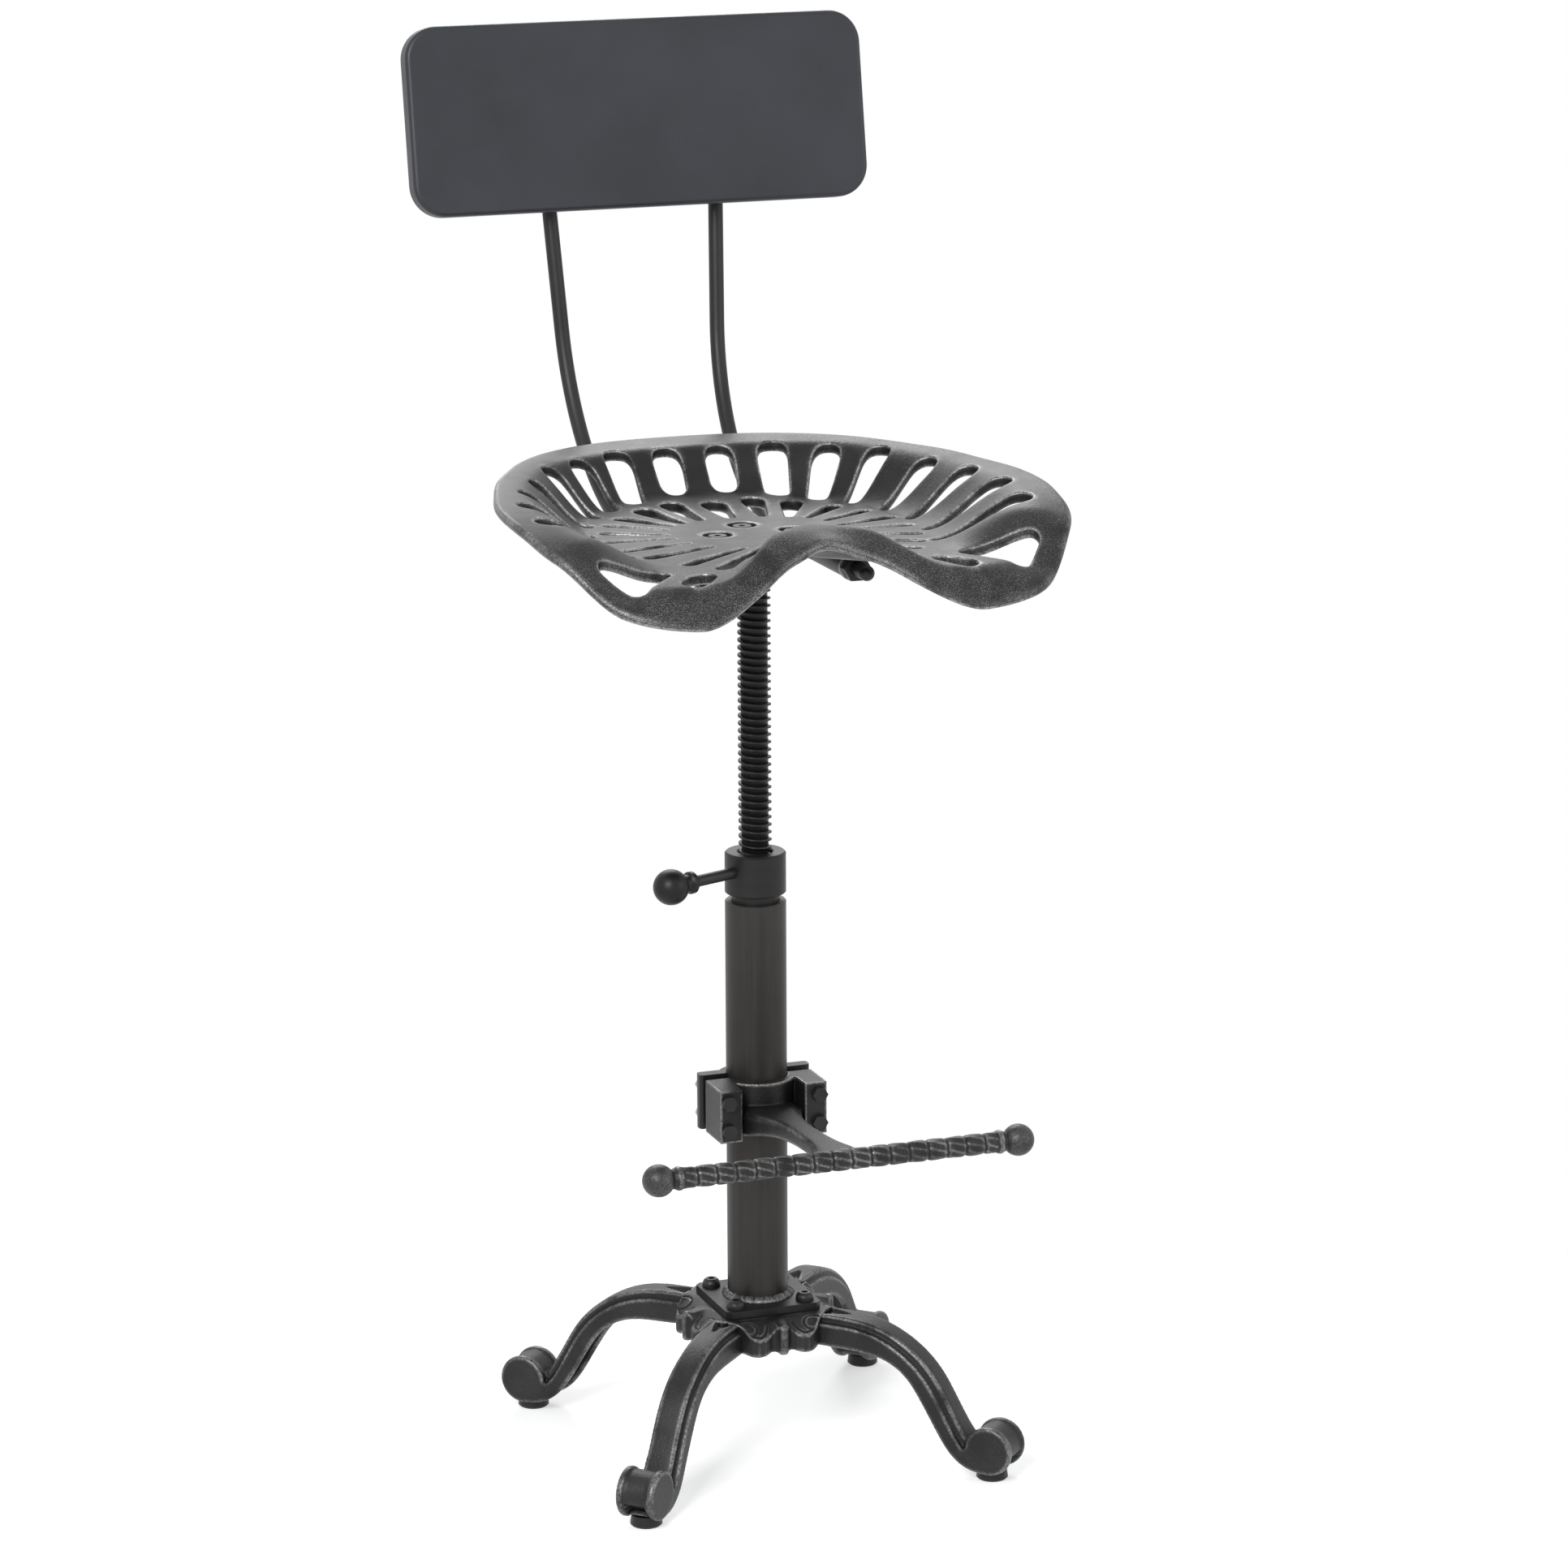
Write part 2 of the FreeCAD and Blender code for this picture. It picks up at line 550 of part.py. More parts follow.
SEAT_FORWARD = 20.0
OUTER_SLOTS = [
    ((22, 167), (20, 133), 27, 20), ((65, 164), (57.5, 118), 27, 18), ((106, 142), (80, 105), 27, 15),
    ((140, 114), (99, 85), 26, 12), ((165, 65), (115, 50), 26, 10), ((183, 19), (124, 12), 27, 9),
    ((195, -32), (124.5, -33), 29, 9), ((193, -85), (117, -77), 30, 9),
]
INNER_ENDS = [
    ((34, 116), (25, 53), 21, 6), ((62, 103), (42, 46), 20, 5), ((89, 80), (53, 38), 14, 4),
    ((106, 54), (62, 24), 10, 3.5), ((118, 23), (67, 4), 9.5, 3.5), ((123, -11), (66, -12), 9.5, 3.5),
    ((120, -50), (60, -30), 10, 3.5), ((111.5, -83), (47, -48), 11, 4), ((95, -114), (28, -60), 13, 4),
    ((77, -146), (8, -57), 15, 4),
]
WEDGE_CORNERS = [(103, -115), (172, -124), (150, -175)]


def smooth(xs, ys, x, flat_ends=False):
    """Curve through the points that never overshoots them, straight beyond the last one."""
    count = len(xs)
    steps = [xs[i + 1] - xs[i] for i in range(count - 1)]
    rises = [(ys[i + 1] - ys[i]) / steps[i] for i in range(count - 1)]
    slopes = [rises[0]] + [0.0] * (count - 2) + [rises[-1]]
    if flat_ends:
        slopes[0] = slopes[-1] = 0.0
    for i in range(1, count - 1):
        if rises[i - 1] * rises[i] > 0:
            left = 2 * steps[i] + steps[i - 1]
            right = steps[i] + 2 * steps[i - 1]
            slopes[i] = (left + right) / (left / rises[i - 1] + right / rises[i])
    if x >= xs[-1]:
        return ys[-1] + slopes[-1] * (x - xs[-1])
    i = max(k for k in range(count - 1) if xs[k] <= x)
    f = (x - xs[i]) / steps[i]
    return (ys[i] * (1 + 2 * f) * (1 - f) ** 2 + slopes[i] * steps[i] * f * (1 - f) ** 2
            + ys[i + 1] * f * f * (3 - 2 * f) + slopes[i + 1] * steps[i] * f * f * (f - 1))


def seat_row(angle):
    angles = [row[0] for row in SEAT_ROWS]
    return [smooth(angles, [row[k] for row in SEAT_ROWS], angle, True) for k in range(1, 8)]


def seat_height(x, y):
    reach = math.hypot(x, y + SEAT_FORWARD)
    angle = math.degrees(math.atan2(abs(x), y + SEAT_FORWARD))
    flat, foot, foot_up, shoulder, shoulder_up, rim, rim_up = seat_row(angle)
    level = D["seat_plateau"]
    if reach <= flat:
        return level
    return smooth([0, flat, foot, shoulder, rim], [level, level, foot_up, shoulder_up, rim_up], reach)


RIM_ROWS = [(0, 224.7), (20, 221.6), (40, 213.0), (60, 204.0), (75, 205.0), (92, 214.8), (108, 226.5),
            (122, 239), (135, 238.5), (148, 217.5), (160, 181.5), (170, 154), (180, 143)]


def rim_point(angle):
    side = abs((angle + 180) % 360 - 180)
    reach = smooth([row[0] for row in RIM_ROWS], [row[1] for row in RIM_ROWS], side, True)
    turn = math.radians(angle)
    return (reach * math.sin(turn), -SEAT_FORWARD + reach * math.cos(turn))


def slot_loop(outer, inner, outer_wide, inner_wide, count=9):
    """Closed outline of a tapered slot with rounded ends."""
    dx, dy = outer[0] - inner[0], outer[1] - inner[1]
    length = math.hypot(dx, dy)
    dx, dy = dx / length, dy / length
    outer_cap = min(outer_wide * 0.42, length * 0.45)
    inner_cap = min(inner_wide * 0.5, length * 0.45)
    right = []
    left = []
    for k in range(count):
        along = length * (1 - math.cos(math.pi * (k + 0.5) / count)) / 2
        half = (inner_wide + (outer_wide - inner_wide) * along / length) / 2
        if along < inner_cap:
            half *= math.sqrt(1 - (1 - along / inner_cap) ** 2)
        if length - along < outer_cap:
            half *= math.sqrt(1 - (1 - (length - along) / outer_cap) ** 2)
        spot = (inner[0] + dx * along, inner[1] + dy * along)
        right.append((spot[0] + dy * half, spot[1] - dx * half))
        left.append((spot[0] - dy * half, spot[1] + dx * half))
    return [inner] + right + [outer] + left[::-1]


def closed_curve(points):
    curve = Part.BSplineCurve()
    curve.interpolate(Points=[Vector(x, y, 0) for x, y in points], PeriodicFlag=True)
    return Part.Wire([curve.toShape()])


def rounded_wire(corners, radius):
    """Straight-sided closed outline with rounded corners."""
    edges = []
    count = len(corners)
    spots = [Vector(x, y, 0) for x, y in corners]
    joins = []
    for k in range(count):
        here, before, after = spots[k], spots[k - 1], spots[(k + 1) % count]
        back = (before - here).normalize()
        on = (after - here).normalize()
        half_turn = math.acos(back.dot(on)) / 2
        reach = radius / math.tan(half_turn)
        middle = (back + on).normalize()
        tip = here + middle * (radius / math.sin(half_turn) - radius)
        joins.append((here + back * reach, tip, here + on * reach))
    for k in range(count):
        first, tip, last = joins[k]
        edges.append(Part.Arc(first, tip, last).toShape())
        edges.append(Part.LineSegment(last, joins[(k + 1) % count][0]).toShape())
    return Part.Wire(edges)


def mirrored(points):
    return [(-x, y) for x, y in points][::-1]


def make_seat():
    low, high, cells = -225.0, 245.0, 36
    depth = [low + 20.0 + (high - low - 40.0) * k / cells for k in range(cells + 1)]
    width = [low + 450.0 * k / cells for k in range(cells + 1)]
    grid = [[Vector(x, y - SEAT_FORWARD - 10.0, seat_height(x, y - SEAT_FORWARD - 10.0)) for y in depth]
            for x in width]
    surface = Part.BSplineSurface()
    surface.interpolate(grid)
    slab = surface.toShape().extrude(Vector(0, 0, -D["seat_thick"]))
    rim = closed_curve([rim_point(360.0 * k / 48) for k in range(48)])
    wires = [rim, closed_curve(slot_loop((0, 112), (0, 55), 24, 7))]
    wedge = rounded_wire(WEDGE_CORNERS, 5.0)
    wires += [wedge, rounded_wire(mirrored(WEDGE_CORNERS), 5.0)]
    for outer, inner, outer_wide, inner_wide in OUTER_SLOTS + INNER_ENDS + [((111, -171), (95, -141), 20, 20)]:
        loop = slot_loop(outer, inner, outer_wide, inner_wide)
        wires += [closed_curve(loop), closed_curve(mirrored(loop))]
    face = Part.Face(wires, "Part::FaceMakerBullseye")
    tall = face.extrude(Vector(0, 0, 160))
    tall.translate(Vector(0, 0, D["seat_plateau"] - 60.0))
    shape = slab.common(tall)
    plateau = D["seat_plateau"]
    for x, y in seat_hole_spots():
        hole = Part.makeCylinder(D["seat_bolt"] / 2 + 0.25, 40, Vector(x, y, plateau - 20))
        recess = Part.makeCylinder(D["seat_recess"] / 2, 20, Vector(x, y, plateau - D["seat_recess_deep"]))
        shape = shape.cut(hole).cut(recess)
    if shape.ShapeType == "Compound" and len(shape.Solids) == 1:
        shape = shape.Solids[0]
    place(solid("seat", shape))


def seat_hole_spots():
    reach = D["seat_hole_radius"]
    ahead = D["seat_hole_ahead"]
    return [(-reach, -ahead), (reach, -ahead), (0, reach - ahead)]


def make_bracket():
    """Steel plate under the seat that carries the two rod sleeves on its edges."""
    thick = D["bracket_thick"]
    spread = D["rod_spread"]
    sleeve = D["sleeve_outer"] / 2
    middle = (D["sleeve_back"] - D["sleeve_front"]) / 2
    under = D["seat_plateau"] - D["seat_thick"] - thick
    boss = D["boss_size"] / 2
    plate = Part.makeBox(2 * spread, D["bracket_deep"], thick,
                         Vector(-spread, middle - D["bracket_deep"] / 2, 0))
    plate = plate.fuse(Part.makeCylinder(boss, D["boss_height"], Vector(0, 0, -D["boss_height"])))
    plate = plate.cut(Part.makeCylinder(D["thread_outer"] / 2 + 0.05, D["boss_height"],
                                        Vector(0, 0, -D["boss_height"])))
    for x, y in seat_hole_spots():
        plate = plate.cut(Part.makeCylinder(D["seat_bolt"] / 2 + 0.25, 3 * thick, Vector(x, y, -thick)))
    length = D["sleeve_front"] + D["sleeve_back"]
    drop = D["rod_height"] - under
    for side, name in ((-1, "left"), (1, "right")):
        start = Vector(side * spread, -D["sleeve_front"], drop)
        plate = plate.cut(Part.makeCylinder(sleeve, length, start, Vector(0, 1, 0)))
        tube_body = Part.makeCylinder(sleeve, length, Vector(0, 0, 0), Vector(0, 1, 0))
        bore = Part.makeCylinder(D["rod_size"] / 2 + D["rod_gap"], length, Vector(0, 0, 0), Vector(0, 1, 0))
        screw_hole = set_screw(side, 0.05)
        hollow = tube_body.cut(bore).cut(screw_hole)
        place(solid("rod_sleeve_" + name, hollow), D["rod_height"], -D["sleeve_front"], side * spread)
    place(solid("seat_flange", plate), under)
    screws = [moved(set_screw(side, 0.0), side * spread, 0, 0) for side in (-1, 1)]
    place(group("sleeve_screws", screws), D["rod_height"], -D["sleeve_front"])


def set_screw(side, extra):
    """Small screw through the upper inner wall of a sleeve, near its front end."""
    start = D["rod_size"] / 2 + D["rod_gap"]
    screw = Part.makeCylinder(2.6 + extra, D["sleeve_outer"] / 2 + 2.0 - start, Vector(0, 8.0, start))
    return turned_to(screw, Vector(0, 1, 0), -side * 42.0)


def rod_bend_end():
    """Where the bend stops, as a distance behind the bend's start line and a rise."""
    turn = math.radians(90 - D["rod_lean"])
    return D["rod_bend_start"] + D["rod_bend"] * math.sin(turn), D["rod_bend"] * (1 - math.cos(turn))


def make_rods():
    radius = D["rod_size"] / 2
    bend = D["rod_bend"]
    start = D["rod_bend_start"]
    front = -D["rod_front"] + radius
    end_back, end_up = rod_bend_end()
    half = math.radians(90 - D["rod_lean"]) / 2
    lean = math.radians(D["rod_lean"])
    corners = [Vector(0, front, 0), Vector(0, start, 0),
               Vector(0, start + bend * math.sin(half), bend * (1 - math.cos(half))),
               Vector(0, end_back, end_up),
               Vector(0, end_back + D["rod_top"] * math.sin(lean), end_up + D["rod_top"] * math.cos(lean))]
    path = Part.Wire([Part.LineSegment(corners[0], corners[1]).toShape(),
                      Part.Arc(corners[1], corners[2], corners[3]).toShape(),
                      Part.LineSegment(corners[3], corners[4]).toShape()])
    ring = Part.Wire([Part.Circle(corners[0], Vector(0, 1, 0), radius).toShape()])
    rod = path.makePipeShell([ring], True, False)
    rod = rod.fuse(Part.makeSphere(radius, corners[0]))
    nut = turned_to(hex_nut(19.0, 10.0, D["rod_size"] + 2 * D["rod_gap"]), Vector(1, 0, 0), 90)
    washer = Part.makeCylinder(D["sleeve_outer"] / 2 + 0.8, 2.0)
    washer = turned_to(washer.cut(Part.makeCylinder(radius + D["rod_gap"], 2.0)), Vector(1, 0, 0), 90)
    nuts = []
    washers = []
    for side, name in ((-1, "left"), (1, "right")):
        leaning = turned_to(rod, Vector(0, 1, 0), side * D["rod_splay"])
        place(solid("backrest_rod_" + name, leaning), D["rod_height"], across=side * D["rod_spread"])
        washers.append(moved(washer, side * D["rod_spread"], -D["sleeve_front"]))
        nuts.append(moved(nut, side * D["rod_spread"], -D["sleeve_front"] - 2.0))
    place(group("rod_nuts", nuts), D["rod_height"])
    place(group("rod_washers", washers), D["rod_height"])


def panel_turn():
    return Rotation(Vector(1, 0, 0), 90 - D["panel_lean"])


def socket_centre():
    """Sideways place of a rod where it passes the middle of the panel."""
    rise = D["panel_height"] - D["rod_height"]
    return D["rod_spread"] + rise * math.tan(math.radians(D["rod_splay"]))


def panel_screw_spots():
    reach = D["socket_wide"] / 2 - 6.0
    spots = []
    for side in (-1, 1):
        for step in (-reach, reach):
            spots.append((side * socket_centre() + step, 0.0))
    return spots


def make_panel():
    body = new_body("backrest_panel")
    sketch = new_sketch(body)
    wide, tall, corner = D["panel_wide"] / 2, D["panel_tall"] / 2, D["panel_corner"]
    draw_rounded(sketch, wide, tall, corner)
    pad(body, sketch, D["panel_thick"], "Sizes.panel_thick", backwards=True)
    holes = new_sketch(body, level=-D["panel_thick"])
    for x, y in panel_screw_spots():
        draw_circle(holes, D["panel_screw"] / 2 + D["bolt_gap"], x, y)
    drilled = pocket(body, holes, 11.0, backwards=True)
    doc.recompute()
    edges = []
    for index, edge in enumerate(drilled.Shape.Edges, start=1):
        box = edge.BoundBox
        if box.ZLength < 1e-6 and abs(box.ZMax) < 1e-6:
            edges.append("Edge%d" % index)
    rounding = body.newObject("PartDesign::Fillet", "backrest_panel_rounding")
    rounding.Base = (drilled, edges)
    rounding.Radius = 4.0
    place(body, D["panel_height"], D["panel_back"], turn=panel_turn())
    return body


def make_sockets():
    """Blocks on the back of the panel that take the tops of the rods."""
    end_back, end_up = rod_bend_end()
    lean = math.radians(D["rod_lean"])
    tall = D["socket_tall"]
    start = D["rod_top"] - tall + 5.0
    panel_spot = Placement(Vector(0, D["panel_back"], D["panel_height"] - D["rod_height"]), panel_turn())
    ahead = Part.makeBox(500, 300, 200, Vector(-250, -150, -D["panel_thick"]))
    ahead.Placement = panel_spot
    screws = []
    for side, name in ((-1, "left"), (1, "right")):
        block = Part.makeBox(22.0, 29.0, tall, Vector(-11.0, -19.0, 0))
        bore = Part.makeCylinder(D["rod_size"] / 2 + D["rod_gap"], tall - 4.0)
        block = block.cut(bore)
        uprights = [edge for edge in block.Edges if edge.Length > tall - 0.1 and edge.BoundBox.YMin > 5.0]
        block = block.makeFillet(5.0, uprights)
        block = turned_to(block, Vector(1, 0, 0), -D["rod_lean"])
        block.translate(Vector(0, end_back + start * math.sin(lean), end_up + start * math.cos(lean)))
        block = turned_to(block, Vector(0, 1, 0), side * D["rod_splay"])
        block.translate(Vector(side * D["rod_spread"], 0, 0))
        thick = D["panel_thick"] + D["socket_flange"]
        flange = soft_box(-D["socket_wide"] / 2, D["socket_wide"] / 2, -tall / 2 + 8, tall / 2 - 8,
                          D["socket_flange"], 4.0)
        flange.translate(Vector(side * socket_centre(), 0, -thick))
        flange.Placement = panel_spot.multiply(flange.Placement)
        shape = block.fuse(flange).cut(ahead)
        for x, y in panel_screw_spots():
            hole = Part.makeCylinder(D["panel_screw"] / 2 + 0.2, 30, Vector(x, y, -thick - 10))
            hole.Placement = panel_spot
            shape = shape.cut(hole)
        place(solid("rod_socket_" + name, shape), D["rod_height"])
    for x, y in panel_screw_spots():
        head = lathe([(0, -2.6), (3.2, -2.6), (4.4, -1.2), (4.4, 0), (0, 0)])
        screw = head.fuse(Part.makeCylinder(D["panel_screw"] / 2, D["socket_flange"] + 10.0))
        screws.append(moved(screw, x, y, -D["panel_thick"] - D["socket_flange"]))
    place(group("panel_screws", screws), D["panel_height"], D["panel_back"], turn=panel_turn())


def make_seat_bolts():
    head = lathe([(0, 0), (8.0, 0), (8.0, 1.6), (7.0, 3.0), (0, 3.0)])
    drop = D["seat_thick"] + D["bracket_thick"] - D["seat_recess_deep"]
    bolt = head.fuse(Part.makeCylinder(D["seat_bolt"] / 2, drop + 9.0, Vector(0, 0, -drop - 9.0)))
    bolt = bolt.cut(moved(hexagon(5.0, 2.0), z=1.2))
    nut = hex_nut(13.0, 6.5, D["seat_bolt"] + 0.1)
    spots = seat_hole_spots()
    seat_level = D["seat_plateau"] - D["seat_recess_deep"]
    under = D["seat_plateau"] - D["seat_thick"] - D["bracket_thick"]
    place(group("seat_bolts", [moved(bolt, x, y) for x, y in spots]), seat_level)
    place(group("seat_nuts", [moved(nut, x, y, -6.5) for x, y in spots]), under)


def check_and_export():
    doc.recompute()
    for obj in doc.Objects:
        if "Invalid" in obj.State or "Error" in obj.State:
            raise RuntimeError("%s did not build: %s" % (obj.Label, obj.State))
    for obj in PARTS:
        shape = obj.Shape
        if shape.isNull() or not shape.isValid():
            raise RuntimeError("%s has no valid shape" % obj.Label)
        if abs(shape.Volume) < 10:
            raise RuntimeError("%s has next to no volume" % obj.Label)
        box = shape.optimalBoundingBox(False)
        print("%-24s solids %d volume %9.0f  x %7.1f %7.1f  y %7.1f %7.1f  z %7.1f %7.1f" % (
            obj.Label, len(shape.Solids), shape.Volume, box.XMin, box.XMax, box.YMin, box.YMax,
            box.ZMin, box.ZMax))
        shape.exportStep("parts/%s.step" % obj.Label)


make_base()
make_glides()
make_foot_plate()
make_column()
make_bush()
make_base_bolts()
make_collar()
make_lever()
make_spindle()
make_clamp()
make_bar()
make_seat()
make_seat_bolts()
make_bracket()
make_rods()
make_panel()
make_sockets()
check_and_export()
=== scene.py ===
import math

import bmesh
import bpy
import numpy as np
from mathutils import Matrix, Vector
from mathutils.geometry import delaunay_2d_cdt


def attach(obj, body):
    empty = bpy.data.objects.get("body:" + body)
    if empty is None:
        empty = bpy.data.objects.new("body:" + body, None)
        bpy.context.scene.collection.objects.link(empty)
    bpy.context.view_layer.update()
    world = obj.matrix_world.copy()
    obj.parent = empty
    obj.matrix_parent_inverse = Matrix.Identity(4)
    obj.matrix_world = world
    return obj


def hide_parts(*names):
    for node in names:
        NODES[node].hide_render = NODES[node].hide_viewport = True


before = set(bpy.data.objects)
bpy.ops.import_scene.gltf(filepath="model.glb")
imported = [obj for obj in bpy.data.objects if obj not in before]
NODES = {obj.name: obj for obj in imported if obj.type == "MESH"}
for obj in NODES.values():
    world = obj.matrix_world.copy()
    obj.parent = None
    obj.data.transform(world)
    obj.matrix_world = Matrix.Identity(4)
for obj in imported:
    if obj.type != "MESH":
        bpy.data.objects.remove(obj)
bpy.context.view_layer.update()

# The column axis stands this far ahead of the frame's origin, in millimetres.
AHEAD = 53.0
PLATEAU = 741.0
SEAT_THICK = 9.0


# Camera, light and floor

def add_camera():
    data = bpy.data.cameras.new("camera")
    data.sensor_width = 36.0
    data.lens = 6901.14 / 1932 * 36.0
    data.clip_start = 0.1
    data.clip_end = 50.0
    camera = bpy.data.objects.new("camera", data)
    bpy.context.scene.collection.objects.link(camera)
    azimuth = math.radians(-19.671)
    heading = azimuth + math.radians(-0.307)
    pitch = math.radians(13.623)
    roll = math.radians(-0.264)
    place = Vector((4.23421 * math.sin(azimuth), -4.23421 * math.cos(azimuth) - AHEAD / 1000, 1.56648))
    level = math.cos(pitch)
    ahead = Vector((-math.sin(heading) * level, math.cos(heading) * level, -math.sin(pitch)))
    right = Vector((math.cos(heading), math.sin(heading), 0.0))
    up = right.cross(ahead)
    turned_right = right * math.cos(roll) + up * math.sin(roll)
    turned_up = up * math.cos(roll) - right * math.sin(roll)
    rows = Matrix((turned_right, turned_up, -ahead)).transposed()
    camera.matrix_world = Matrix.Translation(place) @ rows.to_4x4()
    bpy.context.scene.camera = camera


def add_lamp(name, place, target, size, power, height=None):
    data = bpy.data.lights.new(name, "AREA")
    data.energy = power
    data.size = size
    if height:
        data.shape = "RECTANGLE"
        data.size_y = height
    lamp = bpy.data.objects.new(name, data)
    lamp.location = place
    lamp.rotation_euler = (Vector(target) - Vector(place)).to_track_quat("-Z", "Y").to_euler()
    bpy.context.scene.collection.objects.link(lamp)


def floor_material():
    """Pale floor that shows white away from the object's shadow."""
    material = bpy.data.materials.new("floor")
    material.use_nodes = True
    tree = material.node_tree
    t = Tree(tree)
    shader = tree.nodes["Principled BSDF"]
    for label, value in (("Base Color", grey(0.92)), ("Roughness", 0.9), ("Specular IOR Level", 0.0)):
        shader.inputs[label].default_value = value
    near = t.node("ShaderNodeEmission", {"Strength": 0.50})
    far = t.node("ShaderNodeEmission", {"Strength": 1.0})
    lifted = t.node("ShaderNodeAddShader", {0: shader.outputs[0], 1: near.outputs[0]})
    place = t.node("ShaderNodeTexCoord").outputs["Object"]
    reach = t.node("ShaderNodeVectorMath", {0: place}, operation="LENGTH")
    away = t.ramp(reach.outputs["Value"], 0.35, 0.85)
    shown = t.node("ShaderNodeMixShader", {"Fac": away, 1: lifted.outputs[0], 2: far.outputs[0]})
    pick = t.node("ShaderNodeMixShader", {"Fac": t.seen(), 1: shader.outputs[0], 2: shown.outputs[0]})
    t.link(pick.outputs[0], tree.nodes["Material Output"].inputs["Surface"])
    return material


def add_surroundings():
    scene = bpy.context.scene
    scene.view_settings.view_transform = "Standard"
    world = bpy.data.worlds.new("studio")
    scene.world = world
    world.use_nodes = True
    tree = world.node_tree
    tree.nodes.clear()
    t = Tree(tree)
    soft = t.node("ShaderNodeBackground", {"Color": (0.95, 0.97, 1.0, 1.0), "Strength": 0.35})
    white = t.node("ShaderNodeBackground", {"Color": grey(1.0), "Strength": 1.0})
    mix = t.node("ShaderNodeMixShader", {"Fac": t.seen(), 1: soft.outputs[0], 2: white.outputs[0]})
    t.node("ShaderNodeOutputWorld", {"Surface": mix.outputs[0]})
    add_lamp("key", (-2.2, -2.6, 2.6), (0.0, 0.0, 0.6), 1.2, 82.0, 1.5)
    add_lamp("fill", (2.6, -2.2, 1.5), (0.0, 0.0, 0.6), 1.6, 16.0, 1.8)
    add_lamp("back", (0.6, 2.6, 2.4), (0.0, 0.0, 0.7), 1.8, 36.0, 1.2)
    mesh = bpy.data.meshes.new("floor")
    wide = 7.0
    corners = [(-wide, -wide, 0), (wide, -wide, 0), (wide, wide, 0), (-wide, wide, 0)]
    mesh.from_pydata(corners, [], [(0, 1, 2, 3)])
    floor = bpy.data.objects.new("floor", mesh)
    scene.collection.objects.link(floor)
    mesh.materials.append(floor_material())


# Materials

class Tree:
    """Short names for building a node tree."""

    def __init__(self, tree):
        self.tree = tree

    def feed(self, socket, value):
        if isinstance(value, bpy.types.NodeSocket):
            self.link(value, socket)
        else:
            socket.default_value = value

    def node(self, kind, inputs=None, **settings):
        made = self.tree.nodes.new(kind)
        for name, value in settings.items():
            setattr(made, name, value)
        for name, value in (inputs or {}).items():
            self.feed(made.inputs[name], value)
        return made

    def link(self, source, target):
        self.tree.links.new(source, target)

    def noise(self, place, scale, detail=3.0, rough=0.55):
        return self.node("ShaderNodeTexNoise", {"Vector": place, "Scale": scale, "Detail": detail,
                                                "Roughness": rough}).outputs["Fac"]

    def math(self, kind, a, b):
        return self.node("ShaderNodeMath", {0: a, 1: b}, operation=kind).outputs[0]

    def plus(self, a, b):
        return self.math("ADD", a, b)

    def less(self, a, b):
        return self.math("SUBTRACT", a, b)

    def times(self, a, b):
        return self.math("MULTIPLY", a, b)

    def swing(self, value, amount):
        """Change about zero that a noise from 0 to 1 makes."""
        return self.times(self.less(value, 0.5), amount)

    def ramp(self, value, low, high, out_low=0.0, out_high=1.0):
        made = self.node("ShaderNodeMapRange", {"Value": value, "From Min": low, "From Max": high,
                                                "To Min": out_low, "To Max": out_high},
                         clamp=True, interpolation_type="SMOOTHSTEP")
        return made.outputs["Result"]

    def mix(self, share, a, b):
        made = self.node("ShaderNodeMix", data_type="RGBA")
        first, second = [socket for socket in made.inputs if socket.type == "RGBA"]
        for socket, value in ((made.inputs[0], share), (first, a), (second, b)):
            self.feed(socket, value)
        return [socket for socket in made.outputs if socket.type == "RGBA"][0]

    def seen(self):
        """One for rays from the camera, mirrors and glass, which see the white surroundings."""
        path = self.node("ShaderNodeLightPath").outputs
        direct = self.math("MAXIMUM", path["Is Camera Ray"], path["Is Glossy Ray"])
        return self.math("MAXIMUM", direct, path["Is Transmission Ray"])


def new_group(name, inputs, outputs):
    group = bpy.data.node_groups.new(name, "ShaderNodeTree")
    for label, kind, value in inputs:
        socket = group.interface.new_socket(label, in_out="INPUT", socket_type=kind)
        socket.default_value = value
    for label, kind in outputs:
        group.interface.new_socket(label, in_out="OUTPUT", socket_type=kind)
    return group, Tree(group), group.nodes.new("NodeGroupInput"), group.nodes.new("NodeGroupOutput")


def grey(level, warm=0.0):
    return (level * (1 + warm), level, level * (1 - warm), 1.0)


